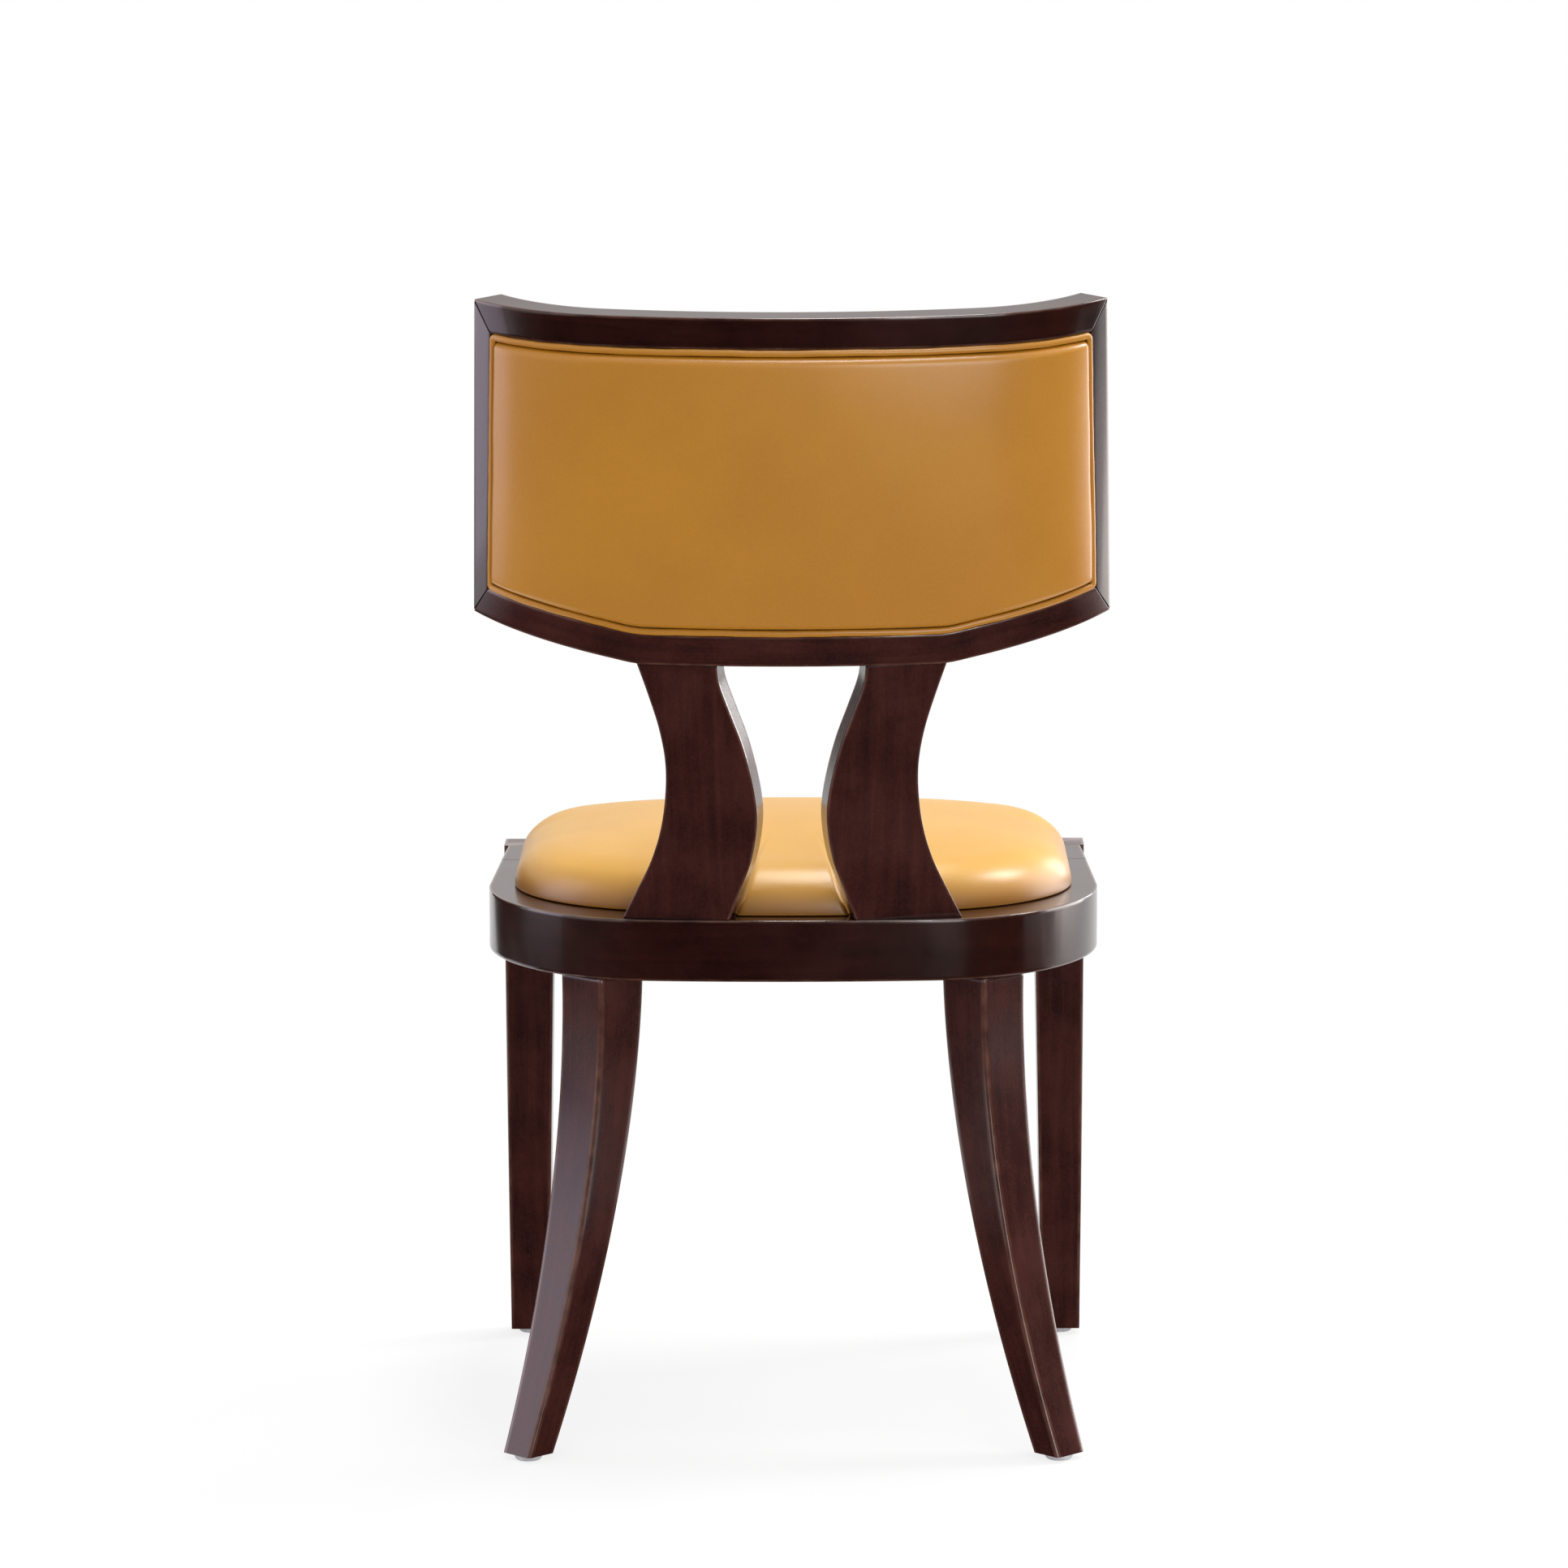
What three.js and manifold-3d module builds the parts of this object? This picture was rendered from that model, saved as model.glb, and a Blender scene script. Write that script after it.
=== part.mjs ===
// A klismos dining chair: an upholstered curved back on two turned splats, a bent seat frame and
// four sabre legs. Millimetres, +Z up, the front faces -Y, and +X is the sitter's left.
// While it is built, the rear middle of the seat frame stands at x = 0, y = 0, and the floor at z = 0.
import * as THREE from "three";
import { mergeVertices } from "three/addons/utils/BufferGeometryUtils.js";
import Module from "manifold-3d";

const wasm = await Module();
wasm.setup();

// Clearances, edges and facets
const jointGap = 0.3;
const arris = 1.4;
const cutOverrun = 2;
const roundSides = 16;
const pinSides = 8;
const pipingSides = 6;

// Seat frame
const seatTop = 439;
const railHeight = 49.5;
const railWidth = 48;
const rearBowRadius = 1200;
const rearBowDegrees = 5.35;
const rearCornerRadius = 134;
const rearCornerDegrees = 50;
const flankRadius = 206;
const seatSideLength = 77;
const sideTaper = 6;
const frameDepth = 431;
const frontRailClearance = 11;
const frontRailSetback = 3;

// Back panel
const splatRise = 208.7;
const backRakeDegrees = 9.2;
const backHeight = 281;
const backThickness = 27.5;
const bowRadius = 860;
const bowRun = 148.7;
const wingRadius = 168;
const wingRunTop = 120;
const wingRunBottom = 127.8;
const crestHeight = 24;
const bottomRailHeight = 24.5;
const stileWidth = 19.3;
const bottomFlatRun = 124;
const bottomEase = 9;
const wingLift = 24;
const liftCurveShare = 0.35;

// Back board, pads and piping
const boardThickness = 9;
const boardTongue = 5.7;
const leatherThickness = 1.6;
const pipingDiameter = 5;
const pipingSink = 0.8;
const pipingCornerRadius = 9;
const padCornerPull = 4;
const padCornerPower = 16;
const rearPadSink = 2;
const rearPadCrown = 10;
const frontPadSink = 2;
const frontPadCrown = 22;

// Splats
const splatTurnDegrees = 10.5;
const splatThickness = 27;
const splatFootReach = 51;
const splatInset = 1.5;
const splatFootWidth = 86.4;
const splatOuterShares = [[0, 1], [0.1, 0.87], [0.23, 0.71], [0.36, 0.605], [0.5, 0.55], [0.62, 0.542],
  [0.75, 0.59], [0.88, 0.68], [1, 0.775]];
const splatInnerShares = [[0, 0], [0.12, -0.118], [0.24, -0.233], [0.36, -0.293], [0.45, -0.302],
  [0.57, -0.262], [0.7, -0.185], [0.82, -0.083], [0.93, 0.006], [1, 0.021]];

// Legs
const rearLegTurnDegrees = 31.1;
const rearLegInset = 29.3;
const rearLegTop = 47.5;
const rearLegFootProfile = 27.7;
const rearLegFootBoard = 31.4;
const rearLegSplayOut = 60.5;
const rearLegSplayBack = 51;
const frontLegWidth = 42.5;
const frontLegDepth = 38;
const frontLegProud = 3.25;
const frontLegFootWidth = 33.5;
const frontLegFootDepth = 32.5;
const frontLegToeIn = 0.5;
const frontLegSweep = 47;
const sabreBend = 1.85;
const boardTaperBend = 1.4;

// Seat cushion and board
const cushionSideSetback = 20.75;
const cushionSplatClearance = 10.5;
const cushionTuck = 18;
const cushionTuckReach = 34;
const cushionFrontSetback = 12;
const cushionRearBow = 900;
const cushionRearBowDegrees = 4.2;
const cushionRearRadius = 150;
const cushionFrontRadius = 90;
const cushionShoulderRun = 36;
const cushionShoulderHeight = 38;
const cushionCrown = 57;
const coverMargin = 26;
const coverDrawIn = 4;
const seatBoardThickness = 12;
const seatBoardClearance = 0.4;
const dustCoverThickness = 0.8;
const dustCoverInset = 6;

// Corner blocks and fixings
const blockThickness = 26;
const blockDrop = 4;
const frontBlockLeg = 84;
const rearBlockHalfAngleDegrees = 24;
const rearBlockMidDegrees = 47;
const rearBlockReach = 40;
const boltDiameter = 8;
const boltInLeg = 30;
const boltPastNut = 4;
const nutAcross = 13;
const nutThickness = 6.5;
const washerDiameter = 20;
const washerThickness = 1.6;
const screwDiameter = 4.5;
const screwHeadDiameter = 9;
const screwHeadHeight = 2.6;
const screwInBoard = 9;
const splatDowelDiameter = 8;
const splatDowelClearance = 3.8;
const legDowelDiameter = 12;
const legDowelLength = 60;
const legDowelSpacing = 20;
const mitreDowelDiameter = 4;
const mitreDowelLength = 14;

// Foot glides
const glideDiameter = 22;
const glideHeight = 5;
const glideEdge = 1.5;
const glideNailDiameter = 2.4;
const glideNailLength = 14;

// Derived places
const rad = THREE.MathUtils.degToRad;
const lerp = THREE.MathUtils.lerp;
const railBottom = seatTop - railHeight;
const backRake = rad(backRakeDegrees);
const splatTurn = rad(splatTurnDegrees);
const backFoot = new THREE.Vector3(0, splatRise * Math.tan(backRake), seatTop + splatRise);
const backUp = new THREE.Vector3(0, Math.sin(backRake), Math.cos(backRake));
const bowAngle = bowRun / bowRadius;
const outerRunTop = bowRun + wingRunTop;
const outerRunBottom = bowRun + wingRunBottom;
const frontLegRearFace = frameDepth - frontLegDepth;
const sideJointBack = frontLegRearFace - seatSideLength;
const frontRailThickness = frontLegDepth - frontRailSetback - frontRailClearance;
const cushionFront = frameDepth - cushionFrontSetback;
const cushionRear = splatInset + splatThickness + cushionSplatClearance;
const seatBoardInset = coverDrawIn + leatherThickness + seatBoardClearance;
const splatDowelLength = 2 * (bottomRailHeight - boardTongue - splatDowelClearance);

// Finishes
const wood = new THREE.MeshStandardMaterial({ color: 0x2d1916, roughness: 0.28, metalness: 0 });
const rawWood = new THREE.MeshStandardMaterial({ color: 0xc9a877, roughness: 0.75, metalness: 0 });
const plywood = new THREE.MeshStandardMaterial({ color: 0xd2b68a, roughness: 0.8, metalness: 0 });
const leather = new THREE.MeshStandardMaterial({ color: 0xb8842f, roughness: 0.42, metalness: 0 });
const foam = new THREE.MeshStandardMaterial({ color: 0xe9dfbf, roughness: 0.95, metalness: 0 });
const lining = new THREE.MeshStandardMaterial({ color: 0x1b1a1a, roughness: 0.95, metalness: 0 });
const steel = new THREE.MeshStandardMaterial({ color: 0xb9bcc0, roughness: 0.35, metalness: 1 });
const plastic = new THREE.MeshStandardMaterial({ color: 0xdcdcdf, roughness: 0.4, metalness: 0 });

const chair = new THREE.Group();

// Adds one named piece to the chair.
function add(name, geometry, material) {
  const mesh = new THREE.Mesh(geometry, material);
  mesh.name = name;
  chair.add(mesh);
  return mesh;
}

// Adds a piece of the left side and its mirror image on the right.
function addPair(name, geometry, material) {
  add(`${name}_left`, geometry, material);
  add(`${name}_right`, geometry, material).scale.x = -1;
}

// A closed body through rings of points. Its ends are capped, or it runs round into itself.
function loft(rings, runsRound = false) {
  const count = rings[0].length;
  const positions = rings.flat().flatMap((point) => [point.x, point.y, point.z]);
  const faces = [];
  const spans = runsRound ? rings.length : rings.length - 1;
  for (let ring = 0; ring < spans; ring += 1) {
    const here = ring * count;
    const there = ((ring + 1) % rings.length) * count;
    for (let i = 0; i < count; i += 1) {
      const j = (i + 1) % count;
      faces.push(here + i, here + j, there + j, here + i, there + j, there + i);
    }
  }
  if (!runsRound) {
    [rings[0], rings[rings.length - 1]].forEach((ring, end) => {
      const first = end ? (rings.length - 1) * count : 0;
      const middle = positions.length / 3;
      const centre = ring.reduce((sum, point) => sum.add(point), new THREE.Vector3());
      centre.divideScalar(count);
      positions.push(centre.x, centre.y, centre.z);
      for (let i = 0; i < count; i += 1) {
        const j = (i + 1) % count;
        if (end) faces.push(first + i, first + j, middle);
        else faces.push(first + j, first + i, middle);
      }
    });
  }
  return facingOut(positions, faces);
}

// A closed body between two grids of points, near(u, v) and far(u, v), for shares u and v.
function slab(uShares, vShares, near, far) {
  const columns = uShares.length;
  const uCount = columns - 1;
  const vCount = vShares.length - 1;
  const layer = columns * (vCount + 1);
  const positions = [];
  for (const surface of [near, far]) {
    for (let row = 0; row <= vCount; row += 1) {
      for (let column = 0; column <= uCount; column += 1) {
        const point = surface(uShares[column], vShares[row]);
        positions.push(point.x, point.y, point.z);
      }
    }
  }
  const faces = [];
  const quad = (a, b, c, d) => faces.push(a, b, c, a, c, d);
  for (let row = 0; row < vCount; row += 1) {
    for (let column = 0; column < uCount; column += 1) {
      const a = row * columns + column;
      quad(a, a + 1, a + 1 + columns, a + columns);
      quad(layer + a, layer + a + columns, layer + a + 1 + columns, layer + a + 1);
    }
  }
  const wall = (a, b) => quad(b, a, layer + a, layer + b);
  for (let column = 0; column < uCount; column += 1) {
    wall(column, column + 1);
    wall(vCount * columns + column + 1, vCount * columns + column);
  }
  for (let row = 0; row < vCount; row += 1) {
    wall((row + 1) * columns, row * columns);
    wall(row * columns + uCount, (row + 1) * columns + uCount);
  }
  return facingOut(positions, faces);
}

// Turns the faces of a closed body round where they point inwards.
function facingOut(positions, faces) {
  let volume = 0;
  const corner = (i) => new THREE.Vector3().fromArray(positions, 3 * i);
  for (let i = 0; i < faces.length; i += 3) {
    const [a, b, c] = [corner(faces[i]), corner(faces[i + 1]), corner(faces[i + 2])];
    volume += a.dot(b.cross(c));
  }
  const index = volume < 0 ? faces.slice().reverse() : faces;
  const geometry = new THREE.BufferGeometry();
  geometry.setAttribute("position", new THREE.Float32BufferAttribute(positions, 3));
  geometry.setIndex(index);
  geometry.computeVertexNormals();
  return geometry;
}

// A ring with each corner cut back to a small arris.
function arrised(corners) {
  return corners.flatMap((corner, i) => {
    const before = corners[(i + corners.length - 1) % corners.length];
    const after = corners[(i + 1) % corners.length];
    return [before, after].map((next) => {
      const step = next.clone().sub(corner);
      return corner.clone().addScaledVector(step.normalize(), arris);
    });
  });
}

// The boolean solid of a geometry, and the geometry of a solid.
function toSolid(geometry) {
  const bare = new THREE.BufferGeometry();
  bare.setAttribute("position", geometry.getAttribute("position").clone());
  if (geometry.index) bare.setIndex(geometry.index.clone());
  const merged = mergeVertices(bare, 1e-4);
  const mesh = new wasm.Mesh({
    numProp: 3,
    vertProperties: merged.getAttribute("position").array,
    triVerts: new Uint32Array(merged.index.array),
  });
  return new wasm.Manifold(mesh);
}

function toGeometry(solid) {
  const mesh = solid.getMesh();
  const geometry = new THREE.BufferGeometry();
  geometry.setAttribute("position", new THREE.Float32BufferAttribute(mesh.vertProperties, 3));
  geometry.setIndex([...mesh.triVerts]);
  geometry.computeVertexNormals();
  return geometry;
}

function cut(geometry, ...cutters) {
  return toGeometry(cutters.reduce((solid, cutter) => solid.subtract(toSolid(cutter)), toSolid(geometry)));
}

// A turned body round +Z from a profile of [radius, height] points.
function turned(profile, sides = pinSides) {
  const points = profile.map(([radius, height]) => new THREE.Vector2(radius, height));
  return new THREE.LatheGeometry(points, sides).rotateX(Math.PI / 2);
}

// Moves a body that stands on the origin along +Z to a place, standing along a direction.
function standing(geometry, place, direction) {
  const turn = new THREE.Quaternion().setFromUnitVectors(new THREE.Vector3(0, 0, 1), direction);
  return geometry.applyQuaternion(turn).translate(place.x, place.y, place.z);
}

// A straight pin about a middle point, with eased ends, and the bore that it goes in.
function pin(middle, direction, diameter, length) {
  const [radius, ease, half] = [diameter / 2, diameter / 8, length / 2];
  const profile = [[0, -half], [radius - ease, -half], [radius, ease - half], [radius, half - ease],
    [radius - ease, half], [0, half]];
  return standing(turned(profile), middle, direction);
}

function bore(middle, direction, diameter, length) {
  const [radius, half] = [diameter / 2 + jointGap, length / 2 + jointGap];
  return standing(turned([[0, -half], [radius, -half], [radius, half], [0, half]]), middle, direction);
}

// A smooth value at a share, through a table of [share, value] shares chosen by hand.
function through(table, share) {
  const last = table.length - 2;
  const found = table.findIndex((row, i) => i <= last && share <= table[i + 1][0]);
  const i = found < 0 ? last : found;
  const slope = (k) => {
    const [a, b] = [table[Math.max(k - 1, 0)], table[Math.min(k + 1, table.length - 1)]];
    return (b[1] - a[1]) / (b[0] - a[0]);
  };
  const [[s0, v0], [s1, v1]] = [table[i], table[i + 1]];
  const t = (share - s0) / (s1 - s0);
  const [m0, m1] = [slope(i) * (s1 - s0), slope(i + 1) * (s1 - s0)];
  return v0 * (2 * t ** 3 - 3 * t ** 2 + 1) + m0 * (t ** 3 - 2 * t ** 2 + t)
    + v1 * (3 * t ** 2 - 2 * t ** 3) + m1 * (t ** 3 - t ** 2);
}

const steps = (count) => Array.from({ length: count + 1 }, (_, i) => i / count);

// The bent back: run is measured round its rear face from the middle, depth forward from that
// face, and rise up the raked panel from the middle of its lower edge.
function onBack(run, depth, rise) {
  const reach = Math.abs(run);
  const turn = reach < bowRun ? reach / bowRadius : bowAngle + (reach - bowRun) / wingRadius;
  const bowTurn = Math.min(turn, bowAngle);
  const out = bowRadius * Math.sin(bowTurn) + wingRadius * (Math.sin(turn) - Math.sin(bowTurn));
  const forward = bowRadius * (1 - Math.cos(bowTurn)) + wingRadius * (Math.cos(bowTurn) - Math.cos(turn));
  const ahead = forward + depth * Math.cos(turn);
  return new THREE.Vector3(
    Math.sign(run) * (out - depth * Math.sin(turn)),
    backFoot.y + rise * Math.sin(backRake) - ahead * Math.cos(backRake),
    backFoot.z + rise * Math.cos(backRake) + ahead * Math.sin(backRake),
  );
}

// The lower edge of the back: level in the middle, then lifting towards the wings.
function lowerEdge(run) {
  const past = Math.abs(run) - bottomFlatRun;
  if (past <= -bottomEase) return 0;
  const share = past / (outerRunBottom - bottomFlatRun);
  const slope = ((1 + liftCurveShare) * wingLift) / (outerRunBottom - bottomFlatRun);
  if (past < bottomEase) return (slope * (past + bottomEase) ** 2) / (4 * bottomEase);
  return wingLift * share * (1 + liftCurveShare * (1 - share));
}

// The corners of the back frame's members: outer and inner ends of the four mitres.
const innerRunTop = outerRunTop - stileWidth;
const innerRunBottom = outerRunBottom - stileWidth;
const openingTop = backHeight - crestHeight;
const openingLow = (run) => lowerEdge(run) + bottomRailHeight;
const openingRun = (rise) => {
  const low = openingLow(innerRunBottom);
  return lerp(innerRunBottom, innerRunTop, (rise - low) / (openingTop - low));
};

// One cross section of a frame member between an outer and an inner place on the back.
function backSection(outer, inner) {
  return arrised([
    onBack(outer.run, 0, outer.rise),
    onBack(inner.run, 0, inner.rise),
    onBack(inner.run, backThickness, inner.rise),
    onBack(outer.run, backThickness, outer.rise),
  ]);
}

// Run shares of a rail, close together where the wings curve and at the bend of the lower edge.
const bend = bottomFlatRun / outerRunBottom;
const bendEase = bottomEase / outerRunBottom;
const halfRunShares = [0, 0.15, 0.3, bend - bendEase, bend, bend + bendEase, 0.56, 0.63, 0.7, 0.77, 0.84,
  0.92, 1];
const bothWays = (shares) => [...shares.slice(1).reverse().map((share) => -share), ...shares];
const runShares = bothWays(halfRunShares);

function crestRail() {
  return loft(runShares.map((share) => backSection(
    { run: share * outerRunTop, rise: backHeight },
    { run: share * innerRunTop, rise: openingTop },
  )));
}

function backBottomRail() {
  return loft(runShares.map((share) => backSection(
    { run: share * outerRunBottom, rise: lowerEdge(share * outerRunBottom) },
    { run: share * innerRunBottom, rise: openingLow(share * innerRunBottom) },
  )));
}

function backStile() {
  const outerLength = backHeight - wingLift;
  const trim = (jointGap * Math.SQRT2) / outerLength;
  return loft(steps(6).map((step) => {
    const share = lerp(trim, 1 - trim, step);
    return backSection(
      { run: lerp(outerRunBottom, outerRunTop, share), rise: lerp(wingLift, backHeight, share) },
      {
        run: lerp(innerRunBottom, innerRunTop, share),
        rise: lerp(openingLow(innerRunBottom), openingTop, share),
      },
    );
  }));
}

// A place on the field inside the frame, at u across and v up, drawn in from the opening's edge.
function onField(u, v, inset, depth) {
  const across = 2 * u - 1;
  const low = openingLow(across * (innerRunBottom - inset)) + inset;
  const rise = lerp(low, openingTop - inset, v);
  return onBack(across * (openingRun(rise) - inset), depth, rise);
}

// How far a pad stands out, from none at its edge to one in its middle.
const crownShare = (u, v) => (1 - Math.abs(2 * u - 1) ** 3) * (1 - Math.abs(2 * v - 1) ** 3);

const boardRear = (backThickness - boardThickness) / 2;
const boardFront = boardRear + boardThickness;
const halfFieldShares = [0, 0.14, 0.28, 0.42, 0.54, 0.59, 0.64, 0.69, 0.74, 0.79, 0.84, 0.89, 0.94, 1];
const fieldShares = bothWays(halfFieldShares).map((across) => (1 + across) / 2);
const fieldRows = steps(6);

// Piping lies against the opening's edge, and each pad's cover against the piping.
const padInset = pipingDiameter + 2 * jointGap;

const rearFace = (u, v) => rearPadSink - rearPadCrown * crownShare(u, v);
const frontFace = (u, v) => backThickness - frontPadSink + frontPadCrown * crownShare(u, v);

// A pad's place, drawn in at its corners.
function onPad(u, v, depth) {
  const corner = Math.abs((2 * u - 1) * (2 * v - 1)) ** padCornerPower;
  return onField(u, v, padInset + padCornerPull * corner, depth);
}

function padCover(face, inward) {
  const near = (u, v) => onPad(u, v, face(u, v));
  const far = (u, v) => onPad(u, v, face(u, v) + inward * leatherThickness);
  return slab(fieldShares, fieldRows, near, far);
}

function padFoam(face, inward, boardFace) {
  const skin = inward * (leatherThickness + jointGap);
  const near = (u, v) => onPad(u, v, face(u, v) + skin);
  const far = (u, v) => onPad(u, v, boardFace - inward * jointGap);
  return slab(fieldShares, fieldRows, near, far);
}

// The board has the pads' own grid, and on all sides a tongue beyond it.
const tongueShares = [-1, 2];
const withTongue = (shares) => [tongueShares[0], ...shares, tongueShares[1]];

function onBoard(u, v, depth, growth) {
  const [across, up] = [u, v].map((share) => THREE.MathUtils.clamp(share, 0, 1));
  if (across === u && up === v) return onPad(u, v, depth);
  return onField(across, up, -boardTongue - growth, depth);
}

function backBoard(growth) {
  const at = (depth) => (u, v) => onBoard(u, v, depth, growth);
  const [columns, rows] = [withTongue(fieldShares), withTongue(fieldRows)];
  return slab(columns, rows, at(boardRear - growth), at(boardFront + growth));
}

// Shares of the piping's run along the lower edge, round each corner and along the upper edge.
const lowShares = [0.18, 0.36, bend, bend + 2 * bendEase, 0.6, 0.7, 0.8, 0.9, 1];
const cornerArcShares = [0.25, 0.5, 0.75];
const topShares = [1, 0.9, 0.8, 0.7, 0.6, 0.45, 0.3, 0.15];

// The piping's way round the field, as places of run and rise with rounded corners.
function pipingWay() {
  const inset = pipingDiameter / 2 + jointGap;
  const place = (run, rise) => ({ run, rise });
  const low = (run) => openingLow(run) + inset;
  const top = openingTop - inset;
  const side = (rise) => openingRun(rise) - inset;
  const lowSide = low(innerRunBottom);
  const half = [];
  const bottomEnd = side(lowSide) - pipingCornerRadius;
  half.push(...lowShares.map((share) => place(share * bottomEnd, low(share * bottomEnd))));
  const cornerLow = low(bottomEnd) + pipingCornerRadius;
  half.push(...cornerArcShares.map((share) => place(
    bottomEnd + pipingCornerRadius * Math.sin((share * Math.PI) / 2),
    cornerLow - pipingCornerRadius * Math.cos((share * Math.PI) / 2),
  )));
  const cornerHigh = top - pipingCornerRadius;
  half.push(...steps(3).map((share) => {
    const rise = lerp(cornerLow, cornerHigh, share);
    return place(side(rise), rise);
  }));
  const topEnd = side(cornerHigh) - pipingCornerRadius;
  half.push(...cornerArcShares.map((share) => place(
    topEnd + pipingCornerRadius * Math.cos((share * Math.PI) / 2),
    cornerHigh + pipingCornerRadius * Math.sin((share * Math.PI) / 2),
  )));
  half.push(...topShares.map((share) => place(share * topEnd, top)));
  const mirrored = half.slice().reverse().map(({ run, rise }) => place(-run, rise));
  return [place(0, low(0)), ...half, place(0, top), ...mirrored];
}

function piping(depth) {
  const way = pipingWay();
  const radius = pipingDiameter / 2;
  return loft(way.map((here, i) => {
    const before = way[(i + way.length - 1) % way.length];
    const after = way[(i + 1) % way.length];
    const along = new THREE.Vector2(after.run - before.run, after.rise - before.rise).normalize();
    return Array.from({ length: pipingSides }, (_, side) => {
      const angle = (2 * Math.PI * side) / pipingSides;
      const aside = radius * Math.cos(angle);
      return onBack(
        here.run + aside * along.y,
        depth + radius * Math.sin(angle),
        here.rise - aside * along.x,
      );
    });
  }), true);
}

// A splat stands on the rear rail, turned outwards and leaning with the back: width is measured
// outwards from its inner foot corner, depth forward from its rear face, and height up its face.
const splatFoot = new THREE.Vector3(splatFootReach, -splatInset, seatTop);
const splatOut = new THREE.Vector3(Math.cos(splatTurn), -Math.sin(splatTurn), 0);
const splatUp = new THREE.Vector3(
  Math.sin(splatTurn) * Math.sin(backRake),
  Math.cos(splatTurn) * Math.sin(backRake),
  Math.cos(backRake),
);
const splatForward = splatOut.clone().cross(splatUp);

function onSplat(width, depth, height) {
  return splatFoot.clone()
    .addScaledVector(splatOut, width)
    .addScaledVector(splatForward, depth)
    .addScaledVector(splatUp, height);
}

const splatFootHeight = (depth) => (-depth * splatForward.z) / splatUp.z;

function splatTopHeight(width, depth) {
  const below = backFoot.clone().sub(onSplat(width, depth, 0)).dot(backUp) - jointGap;
  return below / splatUp.dot(backUp);
}

function splat() {
  return loft(steps(18).map((share) => {
    const outer = splatFootWidth * through(splatOuterShares, share);
    const inner = splatFootWidth * through(splatInnerShares, share);
    const at = (width, depth) => {
      const height = lerp(splatFootHeight(depth), splatTopHeight(width, depth), share);
      return onSplat(width, depth, height);
    };
    return arrised([at(outer, 0), at(inner, 0), at(inner, splatThickness), at(outer, splatThickness)]);
  }));
}

// Dowels stand half in the splat and half in the rail that it meets, two at each end.
const dowelShares = [0.27, 0.73];

function splatDowels() {
  const depth = splatThickness / 2;
  const places = [];
  for (const share of dowelShares) {
    const footWidth = splatFootWidth * share;
    const topOuter = splatFootWidth * through(splatOuterShares, 1);
    const topInner = splatFootWidth * through(splatInnerShares, 1);
    const topWidth = lerp(topInner, topOuter, share);
    places.push(onSplat(footWidth, depth, splatFootHeight(depth)));
    places.push(onSplat(topWidth, depth, splatTopHeight(topWidth, depth)));
  }
  return places;
}

// The outer edge of the seat frame on its left, at an angle that it has turned from the rear.
const rearBowAngle = rad(rearBowDegrees);
const cornerAngle = rad(rearCornerDegrees);
const frameArcs = [
  [rearBowRadius, rearBowAngle],
  [rearCornerRadius, cornerAngle],
  [flankRadius, Math.PI / 2],
];

function onFrameArc(turn) {
  let [x, y, from] = [0, 0, 0];
  for (const [radius, end] of frameArcs) {
    const to = Math.max(Math.min(turn, end), from);
    x += radius * (Math.sin(to) - Math.sin(from));
    y -= radius * (Math.cos(from) - Math.cos(to));
    from = to;
  }
  return { x, y, turn };
}

const widest = onFrameArc(Math.PI / 2);
const widestReach = widest.x;
const widestBack = -widest.y;

// How far out the side of the frame reaches at a distance forward of the rear middle.
function sideReach(back) {
  return widestReach - (sideTaper * (back - widestBack)) / (frontLegRearFace - widestBack);
}

// The front legs stand a little proud of the side rails, and the cushion keeps back from the edge.
const frontLegReach = sideReach(frontLegRearFace) + frontLegProud;
const frontLegFootReach = frontLegReach - frontLegToeIn;
const frontLegInnerFace = frontLegReach - frontLegWidth;
const cushionReach = widestReach - cushionSideSetback;
const cushionBowAngle = rad(cushionRearBowDegrees);

// One cross section of the seat frame between an outer and an inner place.
function railSection(outer, inner) {
  return arrised([
    new THREE.Vector3(outer.x, outer.y, seatTop),
    new THREE.Vector3(inner.x, inner.y, seatTop),
    new THREE.Vector3(inner.x, inner.y, railBottom),
    new THREE.Vector3(outer.x, outer.y, railBottom),
  ]);
}

function arcSection(turn, side) {
  const { x, y } = onFrameArc(turn);
  const [insideX, insideY] = [x - railWidth * Math.sin(turn), y - railWidth * Math.cos(turn)];
  return railSection({ x: side * x, y }, { x: side * insideX, y: insideY });
}

function sideSection(back, side) {
  const reach = sideReach(back);
  return railSection({ x: side * reach, y: -back }, { x: side * (reach - railWidth), y: -back });
}

function seatRailRear() {
  const bowTurns = steps(4).map((share) => share * rearBowAngle);
  const cornerTurns = steps(14).slice(1).map((share) => lerp(rearBowAngle, Math.PI / 2, share));
  const turns = [...bowTurns, ...cornerTurns];
  const right = turns.slice(1).reverse().map((turn) => arcSection(turn, -1));
  const left = turns.map((turn) => arcSection(turn, 1));
  return loft([sideSection(sideJointBack, -1), ...right, ...left, sideSection(sideJointBack, 1)]);
}

function seatSide() {
  return loft([sideSection(sideJointBack + jointGap, 1), sideSection(frontLegRearFace, 1)]);
}

function seatRailFront() {
  const [front, rear] = [frameDepth - frontRailSetback, frameDepth - frontRailSetback - frontRailThickness];
  const section = (x) => arrised([
    new THREE.Vector3(x, -front, seatTop),
    new THREE.Vector3(x, -rear, seatTop),
    new THREE.Vector3(x, -rear, railBottom),
    new THREE.Vector3(x, -front, railBottom),
  ]);
  return loft([section(-frontLegInnerFace), section(frontLegInnerFace)]);
}

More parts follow.
